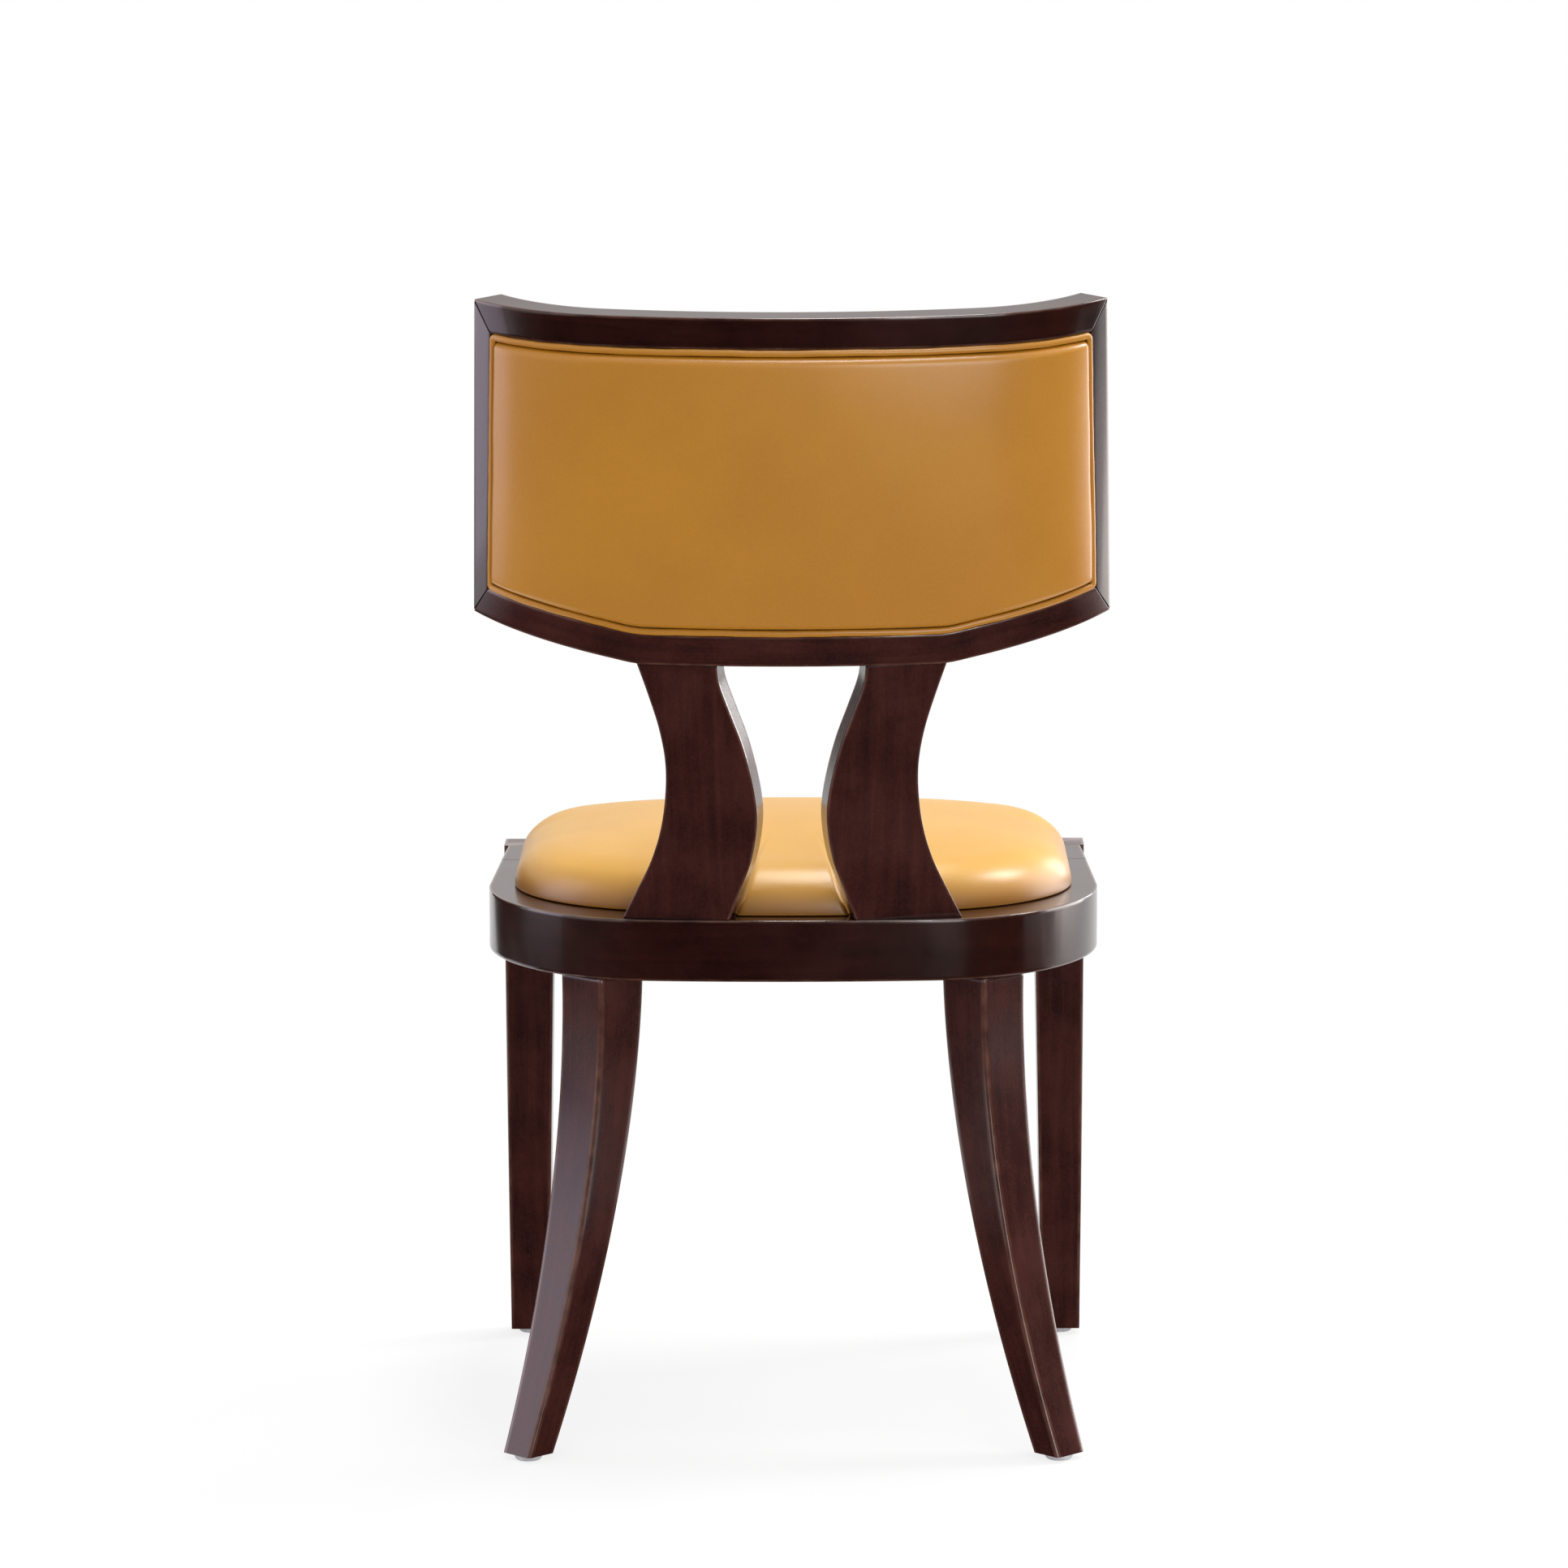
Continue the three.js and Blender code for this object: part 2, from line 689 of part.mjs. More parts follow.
// The front leg stands in the corner of the frame and sweeps forward to its foot.
function frontLeg() {
  const section = (height, share) => {
    const bent = share ** sabreBend;
    const outer = lerp(frontLegReach, frontLegFootReach, share);
    const width = lerp(frontLegWidth, frontLegFootWidth, share);
    const depth = lerp(frontLegDepth, frontLegFootDepth, share);
    const front = -frameDepth - frontLegSweep * bent;
    return arrised([
      new THREE.Vector3(outer, front + depth, height),
      new THREE.Vector3(outer - width, front + depth, height),
      new THREE.Vector3(outer - width, front, height),
      new THREE.Vector3(outer, front, height),
    ]);
  };
  const below = steps(14).map((share) => section(lerp(railBottom, glideHeight, share), share));
  return loft([section(seatTop, 0), ...below]);
}

// The rear leg is a square turned by an eighth of a circle, under the middle of the bent rail.
// It splays outwards and backwards.
const rearLegEdge = onFrameArc(rad(rearLegTurnDegrees));
const rearLegHead = {
  x: rearLegEdge.x - rearLegInset * Math.sin(rearLegEdge.turn),
  y: rearLegEdge.y - rearLegInset * Math.cos(rearLegEdge.turn),
};

function rearLegMiddle(share) {
  const bent = share ** sabreBend;
  return new THREE.Vector3(
    rearLegHead.x + rearLegSplayOut * bent,
    rearLegHead.y + rearLegSplayBack * bent,
    lerp(railBottom, glideHeight, share),
  );
}

const splayWay = new THREE.Vector3(Math.SQRT1_2, Math.SQRT1_2, 0);
const boardWay = new THREE.Vector3(-Math.SQRT1_2, Math.SQRT1_2, 0);

function rearLeg() {
  return loft(steps(16).map((share) => {
    const along = lerp(rearLegTop, rearLegFootProfile, share) / 2;
    const across = lerp(rearLegTop, rearLegFootBoard, share ** boardTaperBend) / 2;
    const corner = (a, b) => rearLegMiddle(share)
      .addScaledVector(splayWay, a * along)
      .addScaledVector(boardWay, b * across);
    return arrised([corner(1, 1), corner(-1, 1), corner(-1, -1), corner(1, -1)]);
  }));
}

const legDowelPlaces = [-1, 1].map((side) => rearLegMiddle(0)
  .addScaledVector(boardWay, (side * legDowelSpacing) / 2)
  .setZ(railBottom));
const upright = new THREE.Vector3(0, 0, 1);

// Corner blocks close the corners of the frame from the inside.
const blockTop = seatTop - blockDrop;
const blockBottom = blockTop - blockThickness;

// A flat plate of an outline between two heights, with round holes for screws.
function plate(outline, holes, holeDiameter, low, high) {
  const turnedLeft = THREE.ShapeUtils.isClockWise(outline) ? outline.slice().reverse() : outline;
  const shape = new THREE.Shape(turnedLeft);
  for (const hole of holes) {
    const path = new THREE.Path();
    path.absarc(hole.x, hole.y, holeDiameter / 2 + jointGap, 0, 2 * Math.PI, true);
    shape.holes.push(path);
  }
  const options = { depth: high - low, bevelEnabled: false, curveSegments: pinSides / 2 };
  return new THREE.ExtrudeGeometry(shape, options).translate(0, 0, low);
}

const frontRailRearFace = frameDepth - frontRailSetback - frontRailThickness;

function frontBlockOutline() {
  const inside = sideReach(frontLegRearFace) - railWidth - jointGap;
  const legSide = frontLegInnerFace - jointGap;
  const legBack = -frontLegRearFace - jointGap;
  const railSide = jointGap - frontRailRearFace;
  return [
    new THREE.Vector2(inside, railSide + frontBlockLeg),
    new THREE.Vector2(inside, legBack),
    new THREE.Vector2(legSide, legBack),
    new THREE.Vector2(legSide, railSide),
    new THREE.Vector2(inside - frontBlockLeg, railSide),
  ];
}

function rearBlockOutline() {
  const span = rad(rearBlockHalfAngleDegrees);
  const points = steps(6).map((share) => {
    const turn = rad(rearBlockMidDegrees) + lerp(-span, span, share);
    const place = onFrameArc(turn);
    const inward = railWidth + 2 * jointGap;
    return new THREE.Vector2(place.x - inward * Math.sin(turn), place.y - inward * Math.cos(turn));
  });
  const chord = points[points.length - 1].clone().sub(points[0]);
  const inward = new THREE.Vector2(chord.y, -chord.x).normalize().multiplyScalar(rearBlockReach);
  return [...points, points[points.length - 1].clone().add(inward), points[0].clone().add(inward)];
}

function middleOf(points) {
  const sum = points.reduce((total, point) => total.add(point), new THREE.Vector2());
  return sum.divideScalar(points.length);
}

// The bolt of a front leg runs level from the leg's inner corner through the block.
const boltWay = new THREE.Vector3(-Math.SQRT1_2, Math.SQRT1_2, 0);
const boltHeight = (blockTop + blockBottom) / 2;
const legCorner = new THREE.Vector3(frontLegInnerFace, -frontLegRearFace, boltHeight);

function blockFaceDistance() {
  const [first, , , , last] = frontBlockOutline();
  const face = last.clone().sub(first);
  const normal = new THREE.Vector2(face.y, -face.x).normalize();
  const corner = new THREE.Vector2(legCorner.x, legCorner.y);
  const way = new THREE.Vector2(boltWay.x, boltWay.y);
  return first.clone().sub(corner).dot(normal) / way.dot(normal);
}

// A flat ring or a hexagon with a bore, standing on the origin along +Z.
function borePlate(outline, thickness) {
  outline.holes.push(new THREE.Path().absarc(0, 0, boltDiameter / 2 + jointGap, 0, 2 * Math.PI, true));
  return new THREE.ExtrudeGeometry(outline, {
    depth: thickness, bevelEnabled: false, curveSegments: roundSides / 2,
  });
}

function hexagon(across) {
  const radius = across / Math.sqrt(3);
  return new THREE.Shape(Array.from({ length: 6 }, (_, i) => new THREE.Vector2(
    radius * Math.cos((i * Math.PI) / 3),
    radius * Math.sin((i * Math.PI) / 3),
  )));
}

function disc(diameter) {
  return new THREE.Shape().absarc(0, 0, diameter / 2, 0, 2 * Math.PI, false);
}

// Between the splats the cushion bulges further back: shares of its reach there and of its bulge.
const rearTuckShares = [[0, 1], [0.5, 0.97], [0.8, 0.85], [1, 0.5], [1.15, 0.12], [1.35, 0]];

// The outline of the seat cushion, drawn in by a margin, from the rear middle round the left.
function cushionOutline(inset, bulge = cushionTuck) {
  const half = [];
  for (const [share, tuck] of rearTuckShares) {
    const turn = (share * cushionTuckReach) / cushionRearBow;
    half.push([
      (cushionRearBow - inset) * Math.sin(turn),
      cushionRearBow * (Math.cos(turn) - 1) - cushionRear - inset * Math.cos(turn) + tuck * bulge,
    ]);
  }
  half.push([
    (cushionRearBow - inset) * Math.sin(cushionBowAngle),
    cushionRearBow * (Math.cos(cushionBowAngle) - 1) - cushionRear - inset * Math.cos(cushionBowAngle),
  ]);
  const cornerX = cushionReach - cushionRearRadius;
  const cornerY = cushionRearBow * (Math.cos(cushionBowAngle) - 1) - cushionRear
    - cushionRearRadius * Math.cos(cushionBowAngle);
  const rear = cushionRearRadius - inset;
  for (const share of steps(8).slice(1)) {
    const turn = lerp(cushionBowAngle, Math.PI / 2, share);
    half.push([cornerX + rear * Math.sin(turn), cornerY + rear * Math.cos(turn)]);
  }
  const front = Math.max(cushionFrontRadius - inset, cushionFrontRadius / 4);
  const frontX = cushionReach - inset - front;
  const frontY = front + inset - cushionFront;
  half.push([cushionReach - inset, lerp(cornerY, frontY, 0.5)]);
  for (const share of steps(5)) {
    const turn = (share * Math.PI) / 2;
    half.push([frontX + front * Math.cos(turn), frontY - front * Math.sin(turn)]);
  }
  half.push([frontX / 2, inset - cushionFront]);
  half.push([0, inset - cushionFront]);
  const mirrored = half.slice(1, -1).reverse().map(([x, y]) => [-x, y]);
  return [...half, ...mirrored].map(([x, y]) => new THREE.Vector2(x, y));
}

const cushionBase = seatTop + jointGap;
const cushionMiddle = -(cushionRear + cushionFront) / 2;

// Shares of the shoulder's run and height, from the drawn-in base to the edge of the crown.
const shoulderShares = [[0, 0.14], [0, 0.27], [0.07, 0.5], [0.22, 0.72], [0.5, 0.9], [1, 1]];
const crownShares = [0.75, 0.5, 0.25, 0.06];

// Rings of the cushion's upper surface, drawn in all over by a skin thickness.
function cushionRings(skin) {
  const ring = (inset, height) => cushionOutline(inset + skin)
    .map((point) => new THREE.Vector3(point.x, point.y, cushionBase + height));
  const rings = shoulderShares.map(([run, rise]) => ring(
    run * cushionShoulderRun,
    rise * cushionShoulderHeight - rise * skin,
  ));
  const edge = cushionOutline(cushionShoulderRun + skin);
  for (const share of crownShares) {
    const height = lerp(cushionCrown, cushionShoulderHeight, share ** 2) - skin;
    rings.push(edge.map((point) => new THREE.Vector3(
      point.x * share,
      lerp(cushionMiddle, point.y, share),
      cushionBase + height,
    )));
  }
  return rings;
}

const flatRing = (inset, height) => cushionOutline(inset)
  .map((point) => new THREE.Vector3(point.x, point.y, height));

function seatCover() {
  const skin = leatherThickness;
  const outside = [flatRing(coverMargin, cushionBase), flatRing(coverDrawIn, cushionBase),
    ...cushionRings(0)];
  const inside = [flatRing(coverMargin, cushionBase + skin), flatRing(coverDrawIn + skin, cushionBase + skin),
    ...cushionRings(skin)];
  return loft([...inside.reverse(), ...outside]);
}

const seatBoardLow = cushionBase + leatherThickness + jointGap;
const seatBoardHigh = seatBoardLow + seatBoardThickness;

function seatFoam() {
  const skin = leatherThickness + jointGap;
  const above = cushionRings(skin).filter((ring) => ring[0].z > seatBoardHigh + 2 * jointGap);
  return loft([flatRing(coverDrawIn + skin, seatBoardHigh + jointGap), ...above]);
}

// The frame's inner edge, drawn in, as the outline of the dust cover.
function dustCoverOutline() {
  const inward = railWidth + dustCoverInset;
  const half = steps(12).map((share) => {
    const { x, y, turn } = onFrameArc((share * Math.PI) / 2);
    return [x - inward * Math.sin(turn), y - inward * Math.cos(turn)];
  });
  half.push([sideReach(frontLegRearFace) - inward, dustCoverInset - frontRailRearFace]);
  const mirrored = half.slice(1).reverse().map(([x, y]) => [-x, y]);
  return [...half, ...mirrored].map(([x, y]) => new THREE.Vector2(x, y));
}

// Back
const board = backBoard(0);
const boardGroove = backBoard(jointGap);

const mitres = [
  { name: "upper", outer: [outerRunTop, backHeight], inner: [innerRunTop, openingTop] },
  { name: "lower", outer: [outerRunBottom, wingLift], inner: [innerRunBottom, openingLow(innerRunBottom)] },
];
const mitreDepth = (boardFront + backThickness) / 2;

// The middle of a mitre and the way square to it, on one side of the back.
function mitreDowel(mitre, side) {
  const [run, rise] = [0, 1].map((k) => (mitre.outer[k] + mitre.inner[k]) / 2);
  const along = new THREE.Vector2(mitre.outer[0] - run, mitre.outer[1] - rise).normalize();
  const end = (step) => onBack(side * (run + step * along.y), mitreDepth, rise - step * along.x);
  const way = end(mitreDowelLength / 2).sub(end(-mitreDowelLength / 2)).normalize();
  return [onBack(side * run, mitreDepth, rise), way, mitreDowelDiameter, mitreDowelLength];
}

const mitrePins = mitres.flatMap((mitre) => [
  { name: `mitre_dowel_${mitre.name}_left`, level: mitre.name, at: mitreDowel(mitre, 1) },
  { name: `mitre_dowel_${mitre.name}_right`, level: mitre.name, at: mitreDowel(mitre, -1) },
]);
for (const { name, at } of mitrePins) add(name, pin(...at), rawWood);
const mitreBores = (level) => mitrePins.filter((one) => one.level === level).map((one) => bore(...one.at));

const dowelPlaces = splatDowels();
const mirror = (point) => point.clone().setX(-point.x);
const dowelAt = (place, side) => {
  const [spot, way] = side > 0 ? [place, splatUp] : [mirror(place), mirror(splatUp)];
  return [spot, way, splatDowelDiameter, splatDowelLength];
};
const dowelBores = dowelPlaces.flatMap((place) => [1, -1].map((side) => bore(...dowelAt(place, side))));
const dowelNames = ["foot_inner", "head_inner", "foot_outer", "head_outer"];
dowelPlaces.forEach((place, i) => {
  addPair(`splat_dowel_${dowelNames[i]}`, pin(...dowelAt(place, 1)), rawWood);
});

add("crest_rail", cut(crestRail(), boardGroove, ...mitreBores("upper")), wood);
add("back_bottom_rail", cut(backBottomRail(), boardGroove, ...mitreBores("lower"), ...dowelBores), wood);
addPair("back_stile", cut(backStile(), boardGroove, ...mitrePins.map((one) => bore(...one.at))), wood);
add("back_board", board, plywood);
add("back_rear_foam", padFoam(rearFace, 1, boardRear), foam);
add("back_rear_cover", padCover(rearFace, 1), leather);
add("back_rear_piping", piping(pipingSink), leather);
add("back_front_foam", padFoam(frontFace, -1, boardFront), foam);
add("back_front_cover", padCover(frontFace, -1), leather);
add("back_front_piping", piping(backThickness - pipingSink), leather);
addPair("splat", cut(splat(), ...dowelBores), wood);

// Seat frame
const legDowelAt = (place) => [place, upright, legDowelDiameter, legDowelLength];
const legDowelBores = legDowelPlaces.flatMap((place) => [place, mirror(place)])
  .map((place) => bore(...legDowelAt(place)));
add("seat_rail_rear", cut(seatRailRear(), ...dowelBores, ...legDowelBores), wood);
add("seat_rail_front", seatRailFront(), wood);

// Corner blocks, bolts and the seat board with its screws
const blocks = { front: frontBlockOutline(), rear: rearBlockOutline() };
const [frontEnd, , , , otherEnd] = blocks.front;
const frontCorners = [frontEnd, otherEnd, new THREE.Vector2(frontEnd.x, otherEnd.y)];
const rearCorners = [blocks.rear[0], ...blocks.rear.slice(-3)];
const screwPlaces = [middleOf(frontCorners), middleOf(rearCorners)];
const screwLow = blockBottom;
const screwHigh = seatBoardLow + screwInBoard;
const screwRadius = screwDiameter / 2;
const screw = () => turned([[0, -screwHeadHeight], [screwHeadDiameter / 2 - glideEdge, -screwHeadHeight],
  [screwHeadDiameter / 2, 0], [screwRadius, 0], [screwRadius, screwHigh - screwLow - screwRadius],
  [0, screwHigh - screwLow]]);

const washerPlace = legCorner.clone().addScaledVector(boltWay, blockFaceDistance() + jointGap);
const nutPlace = washerPlace.clone().addScaledVector(boltWay, washerThickness + jointGap);
const boltEnd = nutPlace.clone().addScaledVector(boltWay, nutThickness + boltPastNut);
const boltStart = legCorner.clone().addScaledVector(boltWay, -boltInLeg);
const boltMiddle = boltStart.clone().lerp(boltEnd, 0.5);
const boltAt = [boltMiddle, boltWay, boltDiameter, boltStart.distanceTo(boltEnd)];
addPair("seat_side", cut(seatSide(), bore(...boltAt)), wood);

for (const [i, end] of Object.keys(blocks).entries()) {
  const solid = plate(blocks[end], [screwPlaces[i]], screwDiameter, blockBottom, blockTop);
  addPair(`corner_block_${end}`, end === "front" ? cut(solid, bore(...boltAt)) : solid, rawWood);
  const { x, y } = screwPlaces[i];
  addPair(`seat_screw_${end}`, screw().translate(x, y, screwLow), steel);
}
addPair("leg_bolt", pin(...boltAt), steel);
const washer = borePlate(disc(washerDiameter), washerThickness);
const nut = borePlate(hexagon(nutAcross), nutThickness);
addPair("leg_washer", standing(washer, washerPlace, boltWay), steel);
addPair("leg_nut", standing(nut, nutPlace, boltWay), steel);

const allScrews = screwPlaces.flatMap(({ x, y }) => [new THREE.Vector2(x, y), new THREE.Vector2(-x, y)]);
const boardOutline = cushionOutline(seatBoardInset, 0);
add("seat_board", plate(boardOutline, allScrews, screwDiameter, seatBoardLow, seatBoardHigh), plywood);
add("seat_foam", seatFoam(), foam);
add("seat_cover", seatCover(), leather);
const dustHigh = cushionBase - jointGap;
const dustLow = dustHigh - dustCoverThickness;
add("dust_cover", plate(dustCoverOutline(), allScrews, screwDiameter, dustLow, dustHigh), lining);

// Legs on their glides
function glide() {
  const [radius, nail] = [glideDiameter / 2, glideNailDiameter / 2];
  return turned([[0, 0], [radius - glideEdge, 0], [radius, glideEdge], [radius, glideHeight - glideEdge / 2],
    [radius - glideEdge / 2, glideHeight], [nail, glideHeight], [nail, glideHeight + glideNailLength - nail],
    [0, glideHeight + glideNailLength]], roundSides);
}

const frontFootMiddle = new THREE.Vector3(
  frontLegFootReach - frontLegFootWidth / 2,
  frontLegFootDepth / 2 - frameDepth - frontLegSweep,
  0,
);
const rearFootMiddle = rearLegMiddle(1).setZ(0);

function nailBore(foot) {
  const middle = foot.clone().setZ(glideHeight + glideNailLength / 2 - cutOverrun / 2);
  return bore(middle, upright, glideNailDiameter, glideNailLength + cutOverrun);
}

addPair("front_leg", cut(frontLeg(), bore(...boltAt), nailBore(frontFootMiddle)), wood);
addPair("rear_leg", cut(rearLeg(), ...legDowelBores, nailBore(rearFootMiddle)), wood);
legDowelPlaces.forEach((place, i) => {
  addPair(`leg_dowel_${["outer", "inner"][i]}`, pin(...legDowelAt(place)), rawWood);
});
addPair("foot_glide_front", glide().translate(frontFootMiddle.x, frontFootMiddle.y, 0), plastic);
addPair("foot_glide_rear", glide().translate(rearFootMiddle.x, rearFootMiddle.y, 0), plastic);

// The origin lies on the floor below the middle of the whole chair.
const bounds = new THREE.Box3().setFromObject(chair);
chair.position.y = -(bounds.min.y + bounds.max.y) / 2;

export default chair;
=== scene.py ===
from math import cos, pi, radians, sin, sqrt, tan

import bmesh
import bpy
from mathutils import Matrix, Vector
from mathutils.kdtree import KDTree


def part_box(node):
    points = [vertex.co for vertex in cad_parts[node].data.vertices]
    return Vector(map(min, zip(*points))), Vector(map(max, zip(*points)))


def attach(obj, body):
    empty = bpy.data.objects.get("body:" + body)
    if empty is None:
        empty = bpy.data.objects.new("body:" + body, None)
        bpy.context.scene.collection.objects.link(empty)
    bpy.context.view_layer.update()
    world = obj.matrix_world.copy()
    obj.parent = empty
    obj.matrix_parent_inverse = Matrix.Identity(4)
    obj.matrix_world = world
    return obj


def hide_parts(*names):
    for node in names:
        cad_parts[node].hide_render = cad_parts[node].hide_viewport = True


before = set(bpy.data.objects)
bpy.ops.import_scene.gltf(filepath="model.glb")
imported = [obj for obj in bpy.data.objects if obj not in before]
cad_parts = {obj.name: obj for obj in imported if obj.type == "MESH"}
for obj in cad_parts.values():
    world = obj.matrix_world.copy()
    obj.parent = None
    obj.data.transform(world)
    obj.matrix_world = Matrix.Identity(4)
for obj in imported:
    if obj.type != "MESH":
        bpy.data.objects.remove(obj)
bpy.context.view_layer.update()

# ---------------------------------------------------------------------------------------------
# Rear seat rail: one bent rail of stained beech that makes the whole rounded rear of the seat
# frame, square in section with eased arrises, ending in a butt joint on each side.
MM = 0.001
rear_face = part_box("seat_rail_rear")[1].y


def at(x, y, z):
    """A place in millimetres, measured from the rear middle of the seat frame and the floor."""
    return Vector((x * MM, y * MM + rear_face, z * MM))


def mix(a, b, share):
    return a + (b - a) * share


def steps(count):
    return [i / count for i in range(count + 1)]


def through(table, share):
    """A smooth value at a share, through a table of (share, value)."""
    last = len(table) - 2
    i = next((k for k in range(last + 1) if share <= table[k + 1][0]), last)

    def slope(k):
        a, b = table[max(k - 1, 0)], table[min(k + 1, len(table) - 1)]
        return (b[1] - a[1]) / (b[0] - a[0])

    (s0, v0), (s1, v1) = table[i], table[i + 1]
    t = (share - s0) / (s1 - s0)
    m0, m1 = slope(i) * (s1 - s0), slope(i + 1) * (s1 - s0)
    return (v0 * (2 * t**3 - 3 * t**2 + 1) + m0 * (t**3 - 2 * t**2 + t)
            + v1 * (3 * t**2 - 2 * t**3) + m1 * (t**3 - t**2))


def body(name, places, faces, grain=None, edge=None, sharp=40):
    """A closed piece from places and faces, smooth but for its sharp corners."""
    mesh = bpy.data.meshes.new(name)
    mesh.from_pydata(places, [], faces)
    work = bmesh.new()
    work.from_mesh(mesh)
    bmesh.ops.recalc_face_normals(work, faces=work.faces)
    work.to_mesh(mesh)
    work.free()
    mesh.polygons.foreach_set("use_smooth", [True] * len(mesh.polygons))
    mesh.set_sharp_from_angle(angle=radians(sharp))
    if grain:
        way = mesh.attributes.new("grain", "FLOAT_VECTOR", "POINT")
        way.data.foreach_set("vector", [value for spot in grain for value in spot])
    if edge:
        worn = mesh.attributes.new("edge", "FLOAT", "POINT")
        worn.data.foreach_set("value", edge)
    piece = bpy.data.objects.new(name, mesh)
    bpy.context.scene.collection.objects.link(piece)
    return piece


def ring_faces(rings, count, closed=False):
    """Faces between neighbouring rings of so many places each."""
    faces = []
    for i in range(rings if closed else rings - 1):
        here, there = i * count, (i + 1) % rings * count
        for k in range(count):
            j = (k + 1) % count
            faces.append((here + k, here + j, there + j, there + k))
    return faces


def eased(corners, radius=0.9, hold=2.2, bends=3):
    """A ring round the corners of a section, each eased to a small round: (a, b, edge)."""
    ring = []
    for i, corner in enumerate(corners):
        corner = Vector(corner)
        back = (Vector(corners[i - 1]) - corner).normalized()
        on = (Vector(corners[(i + 1) % len(corners)]) - corner).normalized()
        middle = corner + (back + on) * radius
        ring.append((*(corner + back * (radius + hold)), 0.0))
        for share in steps(bends):
            turn = share * pi / 2
            spot = middle - on * radius * cos(turn) - back * radius * sin(turn)
            ring.append((*spot, 1.0))
        ring.append((*(corner + on * (radius + hold)), 0.0))
    return ring


def swept(name, stations, section, place, offset=0, joint=0):
    """A member with a section at each (share, length along it), placed by place(share, a, b).
    The offset moves it to a stretch of grain of its own. A joint is the share of about a
    millimetre: both ends are eased, with dark stain caught in."""
    places, grain, edge = [], [], []
    (first, begins), (last, ends) = stations[0], stations[-1]
    rings = [(share, along, 0, 0) for share, along in stations]
    if joint:
        rings[0], rings[-1] = (first + 1.3 * joint, begins, 0, 0), (last - 1.3 * joint, ends, 0, 0)
        rings = [(first, begins, 0.3, -1), (first + 0.45 * joint, begins, 0, -0.3)] + rings
        rings += [(last - 0.45 * joint, ends, 0, -0.3), (last, ends, 0.3, -1)]
    for share, along, drawn_in, stain in rings:
        ring = section(share)
        count = len(ring)
        middle = sum((Vector(spot[:2]) for spot in ring), Vector((0, 0))) / count
        for a, b, worn in ring:
            if drawn_in:
                a, b = Vector((a, b)) + (middle - Vector((a, b))).normalized() * drawn_in
            places.append(at(*place(share, a, b)))
            grain.append((along + offset, a, b))
            edge.append(stain or worn)
    faces = ring_faces(len(rings), count)
    faces.append(tuple(range(count)))
    faces.append(tuple(range((len(rings) - 1) * count, len(rings) * count)))
    return body(name, places, faces, grain, edge)


SEAT_TOP, RAIL_HEIGHT, RAIL_WIDTH = 439, 49.5, 48
RAIL_BOTTOM = SEAT_TOP - RAIL_HEIGHT
frame_arcs = [(1200, radians(5.35)), (134, radians(50)), (206, pi / 2)]
FRAME_DEPTH, SIDE_TAPER = 431, 6
LEG_FRONT_REAR = 393
SIDE_JOINT = 316


def on_frame(turn):
    """The outer edge of the seat frame on its left, where it has turned so far from the rear."""
    x, y, begun, length = 0, 0, 0, 0
    for radius, end in frame_arcs:
        to = max(min(turn, end), begun)
        x += radius * (sin(to) - sin(begun))
        y -= radius * (cos(begun) - cos(to))
        length += radius * (to - begun)
        begun = to
    return x, y, length


WIDEST, widest_y, rail_arc = on_frame(pi / 2)


def side_reach(back):
    return WIDEST - SIDE_TAPER * (back + widest_y) / (LEG_FRONT_REAR + widest_y)


def rail_edge(length):
    """Place and inward direction at a length round the outer edge, from the rear middle."""
    side = 1 if length >= 0 else -1
    length = abs(length)
    if length > rail_arc:
        back = length - rail_arc - widest_y
        return side * side_reach(back), -back, -side, 0
    begun, left = 0, length
    for radius, end in frame_arcs:
        if left <= radius * (end - begun):
            turn = begun + left / radius
            break
        left -= radius * (end - begun)
        begun = end
    x, y, _ = on_frame(turn)
    return side * x, y, -side * sin(turn), -cos(turn)


def on_rail(length, inward, height):
    x, y, way_x, way_y = rail_edge(length)
    return x + way_x * inward, y + way_y * inward, height


rail_end = rail_arc + SIDE_JOINT + widest_y
rail_stations = [(length, length) for length in
                 (mix(-rail_end, rail_end, share) for share in steps(120))]
rail_section = eased([(0, SEAT_TOP), (RAIL_WIDTH, SEAT_TOP), (RAIL_WIDTH, RAIL_BOTTOM),
                      (0, RAIL_BOTTOM)])
seat_rail_rear = swept("rear_seat_rail", rail_stations, lambda share: rail_section, on_rail, joint=1)


def tree_of(material):
    material.use_nodes = True
    nodes = material.node_tree.nodes
    nodes.clear()
    out = nodes.new("ShaderNodeOutputMaterial")
    shader = nodes.new("ShaderNodeBsdfPrincipled")
    material.node_tree.links.new(shader.outputs["BSDF"], out.inputs["Surface"])
    return material.node_tree, shader


def feed(tree, node, links):
    """Inputs of a node. Each is (input name or number, socket or value)."""
    for key, value in links:
        if isinstance(value, bpy.types.NodeSocket):
            tree.links.new(value, node.inputs[key])
        else:
            node.inputs[key].default_value = value


def add(tree, kind, links=(), **settings):
    node = tree.nodes.new(kind)
    for key, value in settings.items():
        setattr(node, key, value)
    feed(tree, node, links)
    return node


def group(name, inputs, outputs):
    """An empty node group: inputs are (name, kind, default), outputs (name, kind)."""
    tree = bpy.data.node_groups.new(name, "ShaderNodeTree")
    for label, kind, value in inputs:
        socket = tree.interface.new_socket(label, in_out="INPUT", socket_type="NodeSocket" + kind)
        if value is not None:
            socket.default_value = value
    for label, kind in outputs:
        tree.interface.new_socket(label, in_out="OUTPUT", socket_type="NodeSocket" + kind)
    return tree, tree.nodes.new("NodeGroupInput").outputs, tree.nodes.new("NodeGroupOutput").inputs


